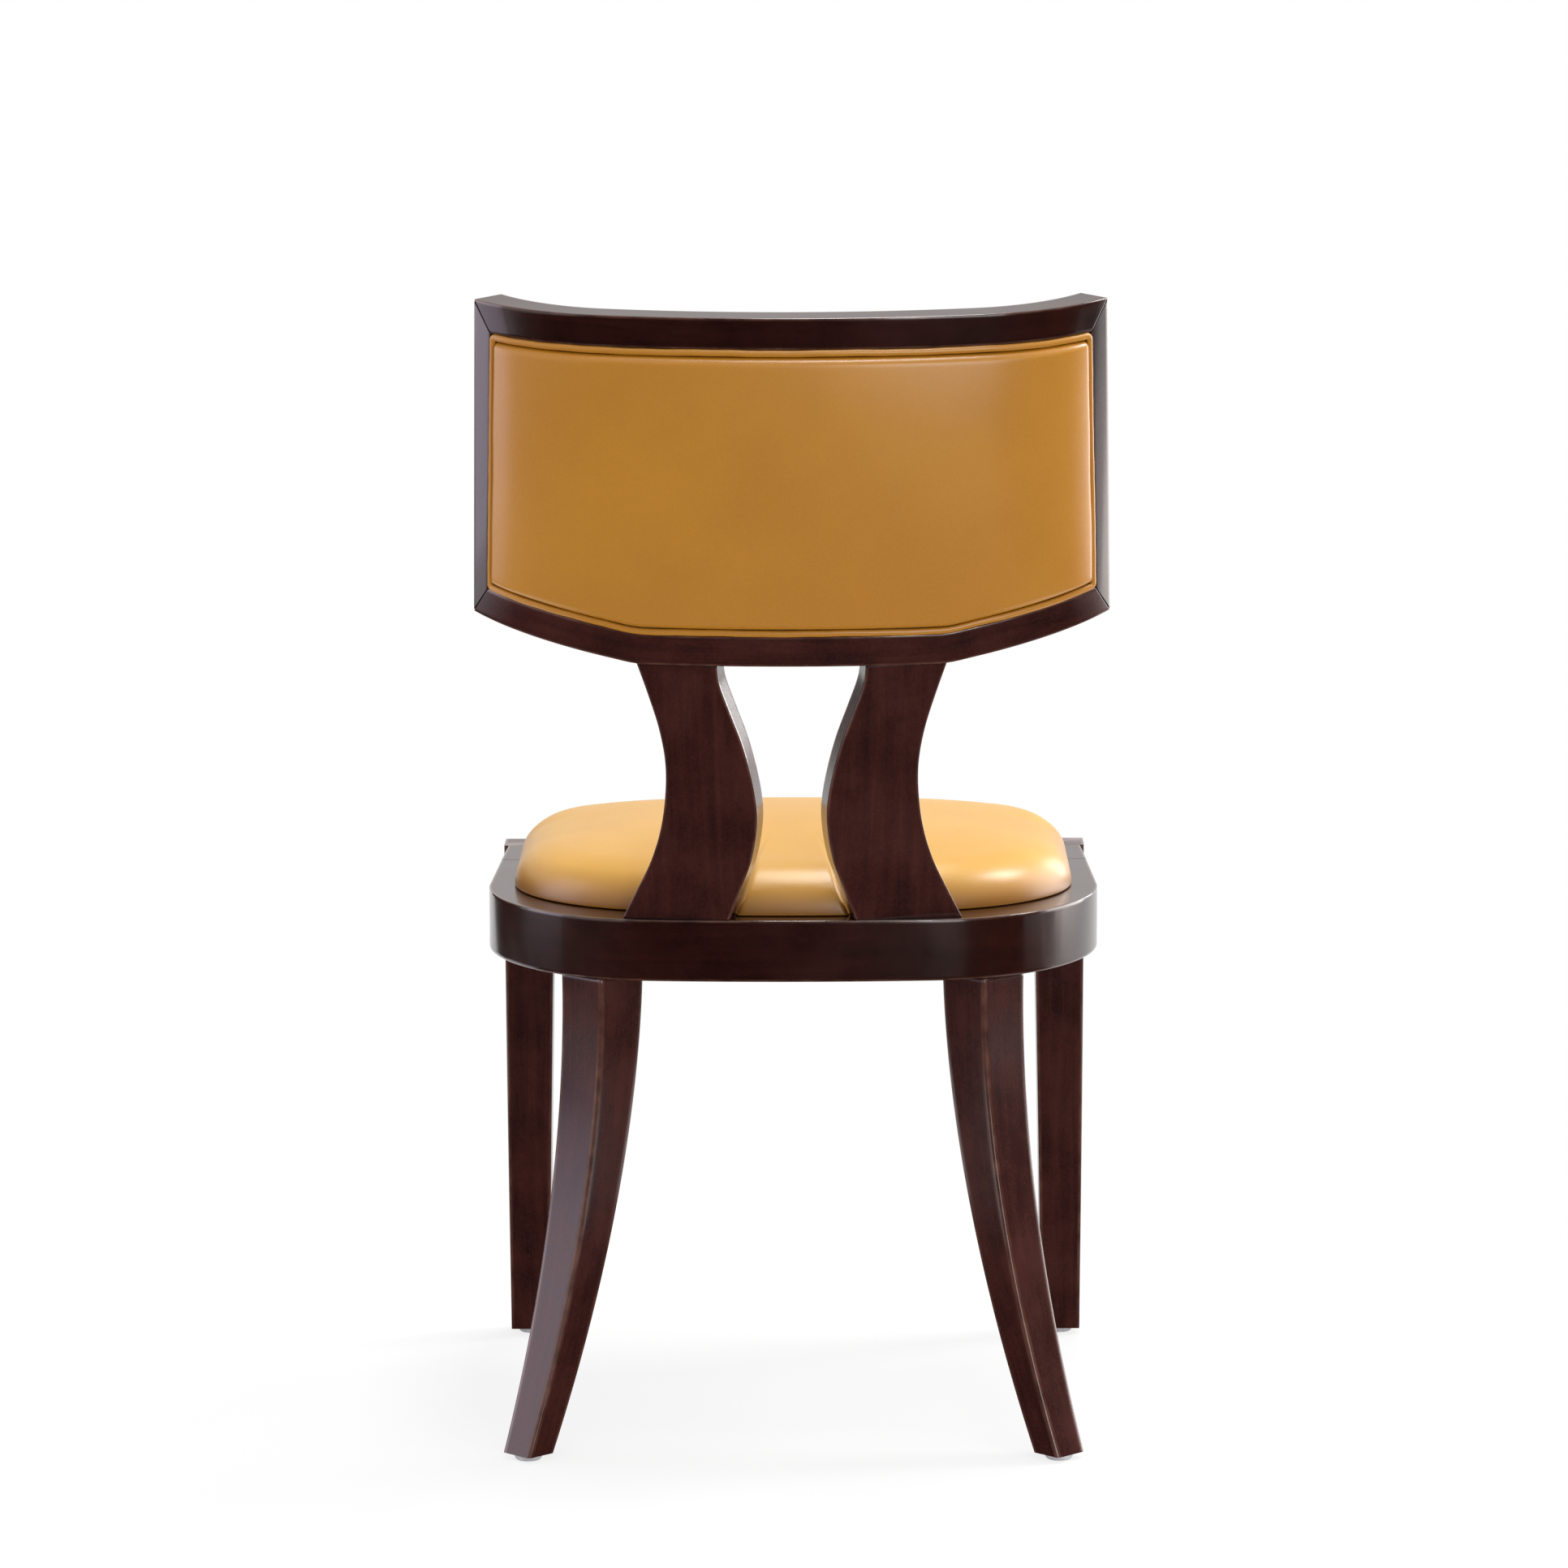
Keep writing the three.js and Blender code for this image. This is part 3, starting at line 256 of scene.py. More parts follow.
def use(tree, made, links=()):
    node = tree.nodes.new("ShaderNodeGroup")
    node.node_tree = made
    feed(tree, node, links)
    return node.outputs


def ramp(tree, value, low, high, smooth=False):
    """A value mapped from low..high to 0..1."""
    node = add(tree, "ShaderNodeMapRange", [("Value", value), ("From Min", low), ("From Max", high)],
               interpolation_type="SMOOTHSTEP" if smooth else "LINEAR")
    return node.outputs["Result"]


MIX_SHARE, MIX_FIRST, MIX_SECOND, MIX_RESULT = 0, 6, 7, 2


def blend_colour(tree, share, first, second):
    node = add(tree, "ShaderNodeMix", [(MIX_FIRST, first), (MIX_SECOND, second), (MIX_SHARE, share)],
               data_type="RGBA")
    return node.outputs[MIX_RESULT]


def maths(tree, operation, *values):
    node = add(tree, "ShaderNodeMath", list(enumerate(values)), operation=operation)
    return node.outputs[0]


def colour(red, green, blue):
    """A colour of 0 to 255 as it is seen on a screen, in the linear values that a shader takes."""
    def linear(part):
        part /= 255
        return part / 12.92 if part <= 0.04045 else ((part + 0.055) / 1.055) ** 2.4
    return linear(red), linear(green), linear(blue), 1


# Grain of wood: long figure and short pores along the first axis of the grain coordinates.
grain_group, grain_in, grain_out = group(
    "Wood grain",
    [("Grain", "Vector", None), ("Figure length", "Float", 140.0), ("Figure width", "Float", 9.0),
     ("Pore length", "Float", 7.0)],
    [("Figure", "Float"), ("Pores", "Float"), ("Height", "Float")])
split = add(grain_group, "ShaderNodeSeparateXYZ", [(0, grain_in["Grain"])])


def stretched(tree, split, length, width, detail, distortion=0.0):
    along = maths(tree, "DIVIDE", split.outputs["X"], length)
    across = maths(tree, "DIVIDE", split.outputs["Y"], width)
    deep = maths(tree, "DIVIDE", split.outputs["Z"], width)
    way = add(tree, "ShaderNodeCombineXYZ", [("X", along), ("Y", across), ("Z", deep)])
    return add(tree, "ShaderNodeTexNoise", [
        ("Vector", way.outputs[0]), ("Scale", 1.0), ("Detail", detail), ("Roughness", 0.6),
        ("Distortion", distortion)]).outputs["Fac"]


figure = stretched(grain_group, split, grain_in["Figure length"], grain_in["Figure width"], 5.0, 0.6)
pores = stretched(grain_group, split, grain_in["Pore length"], 0.35, 2.0)
grain_group.links.new(ramp(grain_group, figure, 0.36, 0.64), grain_out["Figure"])
pore_mask = ramp(grain_group, pores, 0.58, 0.72)
grain_group.links.new(pore_mask, grain_out["Pores"])
height = maths(grain_group, "SUBTRACT", maths(grain_group, "MULTIPLY", figure, 0.4), pore_mask)
grain_group.links.new(height, grain_out["Height"])

# Wear: where an edge has been rubbed, broken up by a fine noise.
wear_group, wear_in, wear_out = group(
    "Edge wear", [("Edge", "Float", 0.0), ("Place", "Vector", None), ("Size", "Float", 60.0)],
    [("Mask", "Float")])
patches = add(wear_group, "ShaderNodeTexNoise", [
    ("Vector", wear_in["Place"]), ("Scale", wear_in["Size"]), ("Detail", 4.0)]).outputs["Fac"]
worn = maths(wear_group, "MULTIPLY", ramp(wear_group, wear_in["Edge"], 0.35, 1.0, True),
             ramp(wear_group, patches, 0.35, 0.7))
wear_group.links.new(worn, wear_out["Mask"])


EDGE_LACQUER = 0.85


def stained_wood(name, dark, red, edge_tint, gloss=0.12, lacquer=0.3):
    """Stained and lacquered beech: cloudy dark and reddish patches over a faint long grain."""
    material = bpy.data.materials.new(name)
    tree, shader = tree_of(material)
    grain = add(tree, "ShaderNodeAttribute", attribute_name="grain").outputs["Vector"]
    edge = add(tree, "ShaderNodeAttribute", attribute_name="edge").outputs["Fac"]
    place = add(tree, "ShaderNodeTexCoord").outputs["Object"]
    figure, pores, height = use(tree, grain_group, [("Grain", grain)])
    cloud = add(tree, "ShaderNodeTexNoise", [
        ("Vector", place), ("Scale", 16.0), ("Detail", 4.0), ("Roughness", 0.6)]).outputs["Fac"]
    speck = add(tree, "ShaderNodeTexNoise", [
        ("Vector", place), ("Scale", 420.0), ("Detail", 2.0), ("Roughness", 0.5)]).outputs["Fac"]
    share = maths(tree, "ADD", maths(tree, "MULTIPLY", ramp(tree, cloud, 0.3, 0.7, True), 0.5),
                  maths(tree, "MULTIPLY", figure, 0.33))
    share = maths(tree, "ADD", share, maths(tree, "MULTIPLY", ramp(tree, speck, 0.35, 0.65), 0.18))
    tint = blend_colour(tree, share, dark, red)
    tint = blend_colour(tree, maths(tree, "MULTIPLY", pores, 0.2), tint, colour(20, 9, 7))
    wear = use(tree, wear_group, [("Edge", edge), ("Place", place)])["Mask"]
    rubbed = maths(tree, "ADD", maths(tree, "MULTIPLY", wear, 0.3),
                   maths(tree, "MULTIPLY", ramp(tree, edge, 0.3, 1.0, True), 0.09))
    tint = blend_colour(tree, rubbed, tint, edge_tint)
    joint = ramp(tree, edge, -0.1, -0.8)
    tint = blend_colour(tree, joint, tint, colour(9, 4, 4))
    tree.links.new(tint, shader.inputs["Base Color"])
    rough = maths(tree, "ADD", gloss, maths(tree, "MULTIPLY", cloud, 0.14))
    rough = maths(tree, "ADD", rough, maths(tree, "MULTIPLY", joint, 0.6))
    tree.links.new(rough, shader.inputs["Roughness"])
    bump = add(tree, "ShaderNodeBump", [("Strength", 0.035), ("Distance", 0.0003), ("Height", height)])
    tree.links.new(bump.outputs["Normal"], shader.inputs["Normal"])
    shader.inputs["IOR"].default_value = 1.5
    shader.inputs["Specular IOR Level"].default_value = 0.42
    thicker = maths(tree, "MULTIPLY", ramp(tree, edge, 0.3, 1.0, True), EDGE_LACQUER - lacquer)
    tree.links.new(maths(tree, "ADD", lacquer, thicker), shader.inputs["Coat Weight"])
    shader.inputs["Coat Roughness"].default_value = 0.1
    return material


espresso = stained_wood("Espresso-stained beech", colour(23, 7, 5), colour(47, 18, 13),
                        colour(120, 84, 70))


def finish_piece(piece, material, slot, *nodes):
    """The piece gets its material, rides with the chair and stands for its solids."""
    if not piece.data.materials:
        piece.data.materials.append(material)
    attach(piece, "root")
    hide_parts(*nodes)
    return piece


finish_piece(seat_rail_rear, espresso, "wood", "seat_rail_rear")

# ---------------------------------------------------------------------------------------------
# Side rails and front rail: short straight rails that close the frame between the bent rail and
# the front legs, butt jointed, of the same stained beech.
JOINT = 0.3


def finish_pair(make, name, material, node):
    """The same piece on the left and, turned over, on the right."""
    for side, sign in (("left", 1), ("right", -1)):
        finish_piece(make(f"{name}_{side}", sign), material, "wood", f"{node}_{side}")


def side_rail(name, sign):
    start, end = rail_end + JOINT, rail_arc + LEG_FRONT_REAR + widest_y
    stations = [(length, length + 700) for length in (mix(start, end, share) for share in steps(6))]
    return swept(name, stations, lambda share: rail_section,
                 lambda share, a, b: on_rail(sign * share, a, b), offset=300 * sign, joint=1.1)


finish_pair(side_rail, "side_seat_rail", espresso, "seat_side")

LEG_PROUD = 3.25
LEG_REACH = side_reach(LEG_FRONT_REAR) + LEG_PROUD
LEG_WIDTH, LEG_DEPTH = 42.5, 38
FRONT_SETBACK, FRONT_THICK = 3, 24
front_span = LEG_REACH - LEG_WIDTH
front_y = -(FRAME_DEPTH - FRONT_SETBACK)
front_section = eased([(front_y, SEAT_TOP), (front_y + FRONT_THICK, SEAT_TOP),
                       (front_y + FRONT_THICK, RAIL_BOTTOM), (front_y, RAIL_BOTTOM)])
front_stations = [(x, x) for x in (mix(-front_span, front_span, share) for share in steps(10))]
front_rail = swept("front_seat_rail", front_stations, lambda share: front_section,
                   lambda share, a, b: (share, a, b), offset=2000, joint=1.1)
finish_piece(front_rail, espresso, "wood", "seat_rail_front")

# ---------------------------------------------------------------------------------------------
# Front legs: sabre legs that stand in the front corners of the frame and sweep forward to the
# floor, tapering on all sides.
GLIDE = 5
SABRE = 1.85
FOOT_WIDTH, FOOT_DEPTH, FOOT_DRAW, FRONT_SWEEP = 33.5, 32.5, 0.5, 47
leg_stain = stained_wood("Espresso-stained legs", colour(34, 15, 14), colour(69, 34, 29),
                         colour(126, 88, 74), lacquer=0.1)


def front_leg(name, sign):
    def section(share):
        below = max(share, 0)
        width, depth = mix(LEG_WIDTH, FOOT_WIDTH, below), mix(LEG_DEPTH, FOOT_DEPTH, below)
        return eased([(0, depth), (width, depth), (width, 0), (0, 0)], 1.5, 3)

    def place(share, a, b):
        below = max(share, 0)
        height = mix(RAIL_BOTTOM, GLIDE, below) if share > 0 else mix(RAIL_BOTTOM, SEAT_TOP, -share)
        outer = mix(LEG_REACH, LEG_REACH - FOOT_DRAW, below)
        return sign * (outer - a), -FRAME_DEPTH - FRONT_SWEEP * below**SABRE + b, height

    shares = [-1, -0.5] + steps(36)
    stations = [(share, RAIL_BOTTOM * (1 - share)) for share in shares]
    return swept(name, stations, section, place, offset=3000 + 500 * sign)


finish_pair(front_leg, "front_sabre_leg", leg_stain, "front_leg")

# ---------------------------------------------------------------------------------------------
# Rear legs: square legs set cornerwise under the bent rail, with a ridge to the rear, splaying
# outwards and backwards in one sweep to small feet.
HALF = sqrt(0.5)
LEG_LENGTH = RAIL_BOTTOM - GLIDE
REAR_X, REAR_Y, REAR_SPLAY, REAR_SWEEP = 153.47, -48.99, 60.5, 51
REAR_TOP, REAR_FOOT_ALONG, REAR_FOOT_ACROSS, ACROSS_TAPER = 47.5, 27.7, 31.4, 1.4
shoulder = [(0, 2), (0.4, 1.15), (0.9, 0.6), (1.6, 0.22), (2.6, 0.04), (4, 0), (LEG_LENGTH, 0)]


def rear_middle(share):
    bent = share**SABRE
    return REAR_X + REAR_SPLAY * bent, REAR_SWEEP * bent + REAR_Y, mix(RAIL_BOTTOM, GLIDE, share)


def rear_leg(name, sign):
    def section(share):
        ease = through(shoulder, share * LEG_LENGTH)
        along = mix(REAR_TOP, REAR_FOOT_ALONG, share) / 2 - ease
        across = mix(REAR_TOP, REAR_FOOT_ACROSS, share**ACROSS_TAPER) / 2 - ease
        return eased([(along, across), (-along, across), (-along, -across), (along, -across)], 2.4, 4)

    def place(share, a, b):
        x, y, z = rear_middle(share)
        return sign * (x + HALF * (a - b)), y + HALF * (a + b), z

    shares = [drop / LEG_LENGTH for drop in (0, 0.4, 0.9, 1.6, 2.6, 4)] + steps(44)[1:]
    stations = [(share, LEG_LENGTH * (1 - share)) for share in shares]
    return swept(name, stations, section, place, offset=5000 + 500 * sign)


finish_pair(rear_leg, "rear_sabre_leg", leg_stain, "rear_leg")

# ---------------------------------------------------------------------------------------------
# Splats: two waisted boards, sawn to shape, turned a little outwards and raked with the back.
# They stand on the rear rail on dowels and carry the back.
RAKE, SPLAT_TURN = radians(9.2), radians(10.5)
SPLAT_RISE, SPLAT_WIDTH, SPLAT_THICK = 208.7, 86.4, 27
back_foot = Vector((0, SPLAT_RISE * tan(RAKE), SEAT_TOP + SPLAT_RISE))
back_up = Vector((0, sin(RAKE), cos(RAKE)))
splat_foot = Vector((51, -1.5, SEAT_TOP))
splat_out = Vector((cos(SPLAT_TURN), -sin(SPLAT_TURN), 0))
splat_up = Vector((sin(SPLAT_TURN) * sin(RAKE), cos(SPLAT_TURN) * sin(RAKE), cos(RAKE)))
splat_forward = splat_out.cross(splat_up)
splat_outer = [(0, 1), (0.1, 0.87), (0.23, 0.71), (0.36, 0.605), (0.5, 0.55), (0.62, 0.542),
               (0.75, 0.59), (0.88, 0.68), (1, 0.775)]
splat_inner = [(0, 0), (0.12, -0.118), (0.24, -0.233), (0.36, -0.293), (0.45, -0.302), (0.57, -0.262),
               (0.7, -0.185), (0.82, -0.083), (0.93, 0.006), (1, 0.021)]


def on_splat(width, depth, height):
    return splat_foot + splat_out * width + splat_forward * depth + splat_up * height


def splat(name, sign):
    def section(share):
        outer = SPLAT_WIDTH * through(splat_outer, share)
        inner = SPLAT_WIDTH * through(splat_inner, share)
        return eased([(outer, 0), (inner, 0), (inner, SPLAT_THICK), (outer, SPLAT_THICK)])

    def place(share, a, b):
        low = -b * splat_forward.z / splat_up.z
        high = ((back_foot - on_splat(a, b, 0)).dot(back_up) - JOINT) / splat_up.dot(back_up)
        x, y, z = on_splat(a, b, mix(low, high, share))
        return sign * x, y, z

    stations = [(share, SPLAT_RISE * share) for share in steps(48)]
    return swept(name, stations, section, place, offset=8000 + 500 * sign, joint=1 / SPLAT_RISE)


finish_pair(splat, "waisted_splat", leg_stain, "splat")

# ---------------------------------------------------------------------------------------------
# Back frame: a bent crest rail, a bent lower rail whose ends lift towards the wings, and two
# short stiles, all mitred together.
BOW, BOW_RUN, WING = 860, 148.7, 168
BACK_HEIGHT, BACK_THICK = 281, 27.5
CREST, LOW_RAIL, STILE = 24, 24.5, 19.3
WING_TOP, WING_BOTTOM = 120, 127.8
RUN_TOP, RUN_BOTTOM = BOW_RUN + WING_TOP, BOW_RUN + WING_BOTTOM
FLAT_RUN, EASE, LIFT, LIFT_CURVE = 124, 9, 24, 0.35
BOW_ANGLE = BOW_RUN / BOW


def on_back(run, depth, rise):
    """A place on the bent, raked back: run round its rear face, depth forward, rise up it."""
    reach = abs(run)
    turn = reach / BOW if reach < BOW_RUN else BOW_ANGLE + (reach - BOW_RUN) / WING
    bow = min(turn, BOW_ANGLE)
    out = BOW * sin(bow) + WING * (sin(turn) - sin(bow))
    ahead = BOW * (1 - cos(bow)) + WING * (cos(bow) - cos(turn)) + depth * cos(turn)
    side = (run > 0) - (run < 0)
    return (side * (out - depth * sin(turn)),
            back_foot.y + rise * sin(RAKE) - ahead * cos(RAKE),
            back_foot.z + rise * cos(RAKE) + ahead * sin(RAKE))


def lower_edge(run):
    past = abs(run) - FLAT_RUN
    span = RUN_BOTTOM - FLAT_RUN
    if past <= -EASE:
        return 0
    if past < EASE:
        return (1 + LIFT_CURVE) * LIFT / span * (past + EASE) ** 2 / (4 * EASE)
    share = past / span
    return LIFT * share * (1 + LIFT_CURVE * (1 - share))


IN_TOP, IN_BOTTOM = RUN_TOP - STILE, RUN_BOTTOM - STILE
OPEN_TOP = BACK_HEIGHT - CREST


def open_low(run):
    return lower_edge(run) + LOW_RAIL


def open_run(rise):
    low = open_low(IN_BOTTOM)
    return mix(IN_BOTTOM, IN_TOP, (rise - low) / (OPEN_TOP - low))


def back_member(name, outer, inner, width, shares, length, offset, lift=0):
    """A member between an outer and an inner line on the back, given as (run, rise) at a share."""
    ring = eased([(0, 0), (width, 0), (width, BACK_THICK), (0, BACK_THICK)])

    def place(share, a, b):
        (run0, rise0), (run1, rise1) = outer(share), inner(share)
        raised = lift * (1 - share**4) * (1 - a / width) * (1 - b / BACK_THICK)
        return on_back(mix(run0, run1, a / width), b, mix(rise0, rise1, a / width) + raised)

    return swept(name, [(share, length * share) for share in shares], lambda share: ring, place, offset,
                 joint=1 / length)


run_shares = [2 * share - 1 for share in steps(108)]
CREST_LIFT = 1.3
crest = back_member("crest_rail_piece", lambda s: (s * RUN_TOP, BACK_HEIGHT),
                    lambda s: (s * IN_TOP, OPEN_TOP), CREST, run_shares, RUN_TOP, 11000, CREST_LIFT)
low_rail = back_member("lower_back_rail", lambda s: (s * RUN_BOTTOM, lower_edge(s * RUN_BOTTOM)),
                       lambda s: (s * IN_BOTTOM, open_low(s * IN_BOTTOM)),
                       LOW_RAIL, run_shares, RUN_BOTTOM, 12000)
finish_piece(crest, espresso, "wood", "crest_rail")
finish_piece(low_rail, leg_stain, "wood", "back_bottom_rail")


MITRE_TRIM = 0.55


def stile(name, sign):
    trim = (JOINT + MITRE_TRIM) * sqrt(2) / (BACK_HEIGHT - LIFT)
    return back_member(
        name, lambda s: (sign * mix(RUN_BOTTOM, RUN_TOP, s), mix(LIFT, BACK_HEIGHT, s)),
        lambda s: (sign * mix(IN_BOTTOM, IN_TOP, s), mix(open_low(IN_BOTTOM), OPEN_TOP, s)),
        STILE, [mix(trim, 1 - trim, share) for share in steps(24)], BACK_HEIGHT, 13000 + 500 * sign)


stile_lacquer = stained_wood("Espresso-stained beech, full lacquer", colour(27, 10, 8),
                             colour(50, 21, 16), colour(120, 84, 70), 0.2, 0.95)
finish_pair(stile, "stile", stile_lacquer, "back_stile")

# ---------------------------------------------------------------------------------------------
# Upholstery of the back: saddle-brown leather over foam on both sides of a bent plywood board,
# crowned in the middle and tucked against the piping all round.
PIPING = 5
PAD_INSET = PIPING + 2 * JOINT
LEATHER = 1.6

# Leather: a fine pebble of small cells in drawn-out skin, with slow changes of tone.
hide_group, hide_in, hide_out = group(
    "Leather grain", [("Place", "Vector", None), ("Pebble", "Float", 900.0), ("Tone", "Float", 7.0)],
    [("Height", "Float"), ("Tone", "Float"), ("Pores", "Float")])
bent = add(hide_group, "ShaderNodeTexNoise", [
    ("Vector", hide_in["Place"]), ("Scale", 160.0), ("Detail", 2.0)]).outputs["Color"]
shifted = add(hide_group, "ShaderNodeVectorMath", [(0, bent), (1, (0.0022, 0.0022, 0.0022))],
              operation="MULTIPLY").outputs[0]
moved = add(hide_group, "ShaderNodeVectorMath", [(0, hide_in["Place"]), (1, shifted)],
            operation="ADD").outputs[0]
cells = add(hide_group, "ShaderNodeTexVoronoi", [("Vector", moved), ("Scale", hide_in["Pebble"])],
            feature="DISTANCE_TO_EDGE").outputs["Distance"]
creases = ramp(hide_group, cells, 0.0, 0.22, True)
fine = add(hide_group, "ShaderNodeTexNoise", [
    ("Vector", hide_in["Place"]), ("Scale", 1500.0), ("Detail", 3.0)]).outputs["Fac"]
skin = maths(hide_group, "ADD", creases, maths(hide_group, "MULTIPLY", fine, 0.35))
hide_group.links.new(skin, hide_out["Height"])
tone = add(hide_group, "ShaderNodeTexNoise", [
    ("Vector", hide_in["Place"]), ("Scale", hide_in["Tone"]), ("Detail", 4.0),
    ("Roughness", 0.55)]).outputs["Fac"]
hide_group.links.new(ramp(hide_group, tone, 0.32, 0.68, True), hide_out["Tone"])
hide_group.links.new(maths(hide_group, "SUBTRACT", 1.0, creases), hide_out["Pores"])


def leather(name, light, deep, seam, gloss=0.27, wax=0.5):
    """Waxed saddle leather: light and deep tones, darker in its pores, with painted shade in the seam
    colour wherever the edge attribute asks for it.
    """
    material = bpy.data.materials.new(name)
    tree, shader = tree_of(material)
    place = add(tree, "ShaderNodeTexCoord").outputs["Object"]
    edge = add(tree, "ShaderNodeAttribute", attribute_name="edge").outputs["Fac"]
    height, tone, pores = use(tree, hide_group, [("Place", place)])
    tint = blend_colour(tree, tone, light, deep)
    tint = blend_colour(tree, maths(tree, "MULTIPLY", pores, 0.3), tint, deep)
    # Painted shade: the edge attribute darkens the leather towards the seam colour, in the creases at
    # its seams and at the foot and lower side of the seat.
    tint = blend_colour(tree, edge, tint, seam)
    tree.links.new(tint, shader.inputs["Base Color"])
    rough = maths(tree, "ADD", gloss, maths(tree, "MULTIPLY", pores, 0.1))
    tree.links.new(rough, shader.inputs["Roughness"])
    bump = add(tree, "ShaderNodeBump", [("Strength", 0.08), ("Distance", 0.0003), ("Height", height)])
    tree.links.new(bump.outputs["Normal"], shader.inputs["Normal"])
    shader.inputs["IOR"].default_value = 1.47
    shader.inputs["Coat Weight"].default_value = wax
    shader.inputs["Coat Roughness"].default_value = 0.3
    shader.inputs["Specular IOR Level"].default_value = 0.58
    return material


# The third colour is the painted shade for the seam creases of the back.
saddle = leather("Saddle leather", colour(182, 124, 30), colour(174, 116, 26), colour(72, 30, 12))


def crown(u, v):
    return (1 - abs(2 * u - 1) ** 3) * (1 - abs(2 * v - 1) ** 3)


def roll(u, v):
    """How far the leather has rolled up from its seam, over the first few millimetres."""
    along, up = min(u, 1 - u) * FIELD_WIDTH / 5, min(v, 1 - v) * FIELD_HEIGHT / 7
    return (1 - max(1 - along, 0) ** 2.5) * (1 - max(1 - up, 0) ** 3)


def fullness(u, v):
    """How far the padding stands up: rolled at the seams, full at both ends, crowned between."""
    end = max(1 - min(u, 1 - u) * FIELD_WIDTH / 24, 0)
    return roll(u, v) * (4.6 + 2.2 * (1 - end**2)) + 3.8 * crown(u, v)


def overhang(u, v):
    """At both ends the full pad bulges out over its piping."""
    return 1.4 * through(bulge_shares, min(u, 1 - u) * FIELD_WIDTH) * roll(0.5, v)


bulge_shares = [(0, 0), (1, 0.55), (2.2, 0.95), (3.2, 1), (6, 0.8), (11, 0.3), (16, 0.06), (20, 0),
                (999, 0)]
FIELD_WIDTH, FIELD_HEIGHT = 480, 205
RIM = (0, 0.35, 0.8, 1.4, 2.2, 3.2, 4.5, 6, 8, 10.5)


def rim_shares(length, count):
    """Shares across the field, close together next to both seams."""
    ends = [spot / length for spot in RIM]
    inner = [mix(13.5 / length, 1 - 13.5 / length, share) for share in steps(count)]
    return ends + inner + [1 - share for share in reversed(ends)]


def on_pad(u, v, depth, over=0):
    """A place on the field inside the frame, drawn in from the opening and at its corners."""
    pull = sin(31 * u + 4 * v) * sin(13 * v + 2) * 0.45 * abs(2 * u - 1) ** 8
    inset = PAD_INSET + pull + 0.7 * abs((2 * u - 1) * (2 * v - 1)) ** 24
    across = 2 * u - 1
    low = open_low(across * (IN_BOTTOM - inset)) + inset
    rise = mix(low, OPEN_TOP - inset, v)
    return on_back(across * (open_run(rise) - inset + over), depth, rise)


PRESS_FRAMES, PRESSURE, STRETCH = 20, 4, 30


def plumped(places, faces, held, most, bend):
    """Moves of a leather cover when the padding presses it outwards, with its seams held: a
    cloth simulation without gravity, scaled so that no place moves further than most. Where the
    simulation returns nothing, the cover keeps its resting form."""
    mesh = bpy.data.meshes.new("pressed cover")
    mesh.from_pydata(places, [], faces)
    cover = bpy.data.objects.new("pressed cover", mesh)
    scene = bpy.context.scene
    scene.collection.objects.link(cover)
    cover.vertex_groups.new(name="seam").add(held, 1.0, "REPLACE")
    cloth = cover.modifiers.new("Cloth", "CLOTH")
    cloth.settings.quality = 6
    cloth.settings.vertex_group_mass = "seam"
    cloth.settings.use_pressure = True
    cloth.settings.uniform_pressure_force = PRESSURE
    cloth.settings.tension_stiffness = cloth.settings.compression_stiffness = STRETCH
    cloth.settings.bending_stiffness = bend
    cloth.settings.effector_weights.gravity = 0
    cloth.collision_settings.use_collision = False
    cloth.point_cache.frame_end = PRESS_FRAMES
    for frame_number in range(1, PRESS_FRAMES + 1):
        scene.frame_set(frame_number)
    pressed = cover.evaluated_get(bpy.context.evaluated_depsgraph_get()).data
    moves = [after.co - before for after, before in zip(pressed.vertices, places)]
    bpy.data.objects.remove(cover)
    bpy.data.meshes.remove(mesh)
    scene.frame_set(1)
    furthest = max(move.length for move in moves)
    if not furthest > 0:
        return [Vector((0, 0, 0)) for _ in places]
    return [move * min(1, most / furthest) for move in moves]


def grid_faces(columns, rows, outwards):
    span = columns + 1
    corners = [(row * span + column) for row in range(rows) for column in range(columns)]
    if outwards:
        return [(a, a + span, a + 1 + span, a + 1) for a in corners]
    return [(a, a + 1, a + 1 + span, a + span) for a in corners]


def pad_rim(columns, rows):
    span = columns + 1
    return [*range(columns), *(row * span + columns for row in range(rows)),
            *(rows * span + column for column in range(columns, 0, -1)),
            *(row * span for row in range(rows, 0, -1))]


PAD_MOVE, PAD_BEND, SMOOTHINGS = 2, 80, 16


def pressed_field(face, rear):
    """The moves of the pad's leather, as a value at any (u, v) of the field."""
    columns, rows = 96, 42
    spots = [(column / columns, row / rows) for row in range(rows + 1) for column in range(columns + 1)]
    places = [at(*on_pad(u, v, face(u, v), overhang(u, v))) for u, v in spots]
    span, rim = columns + 1, set(pad_rim(columns, rows))
    moves = plumped(places, grid_faces(columns, rows, rear), list(rim), PAD_MOVE * MM, PAD_BEND)
    for _ in range(SMOOTHINGS):
        moves = [move if i in rim else (
            move + moves[i - 1] + moves[i + 1] + moves[i - span] + moves[i + span]) / 5
            for i, move in enumerate(moves)]

    def move(u, v):
        across, up = u * columns, v * rows
        column, row = min(int(across), columns - 1), min(int(up), rows - 1)
        a = row * span + column
        low = moves[a].lerp(moves[a + 1], across - column)
        return low.lerp(moves[a + span].lerp(moves[a + span + 1], across - column), up - row)

    return move


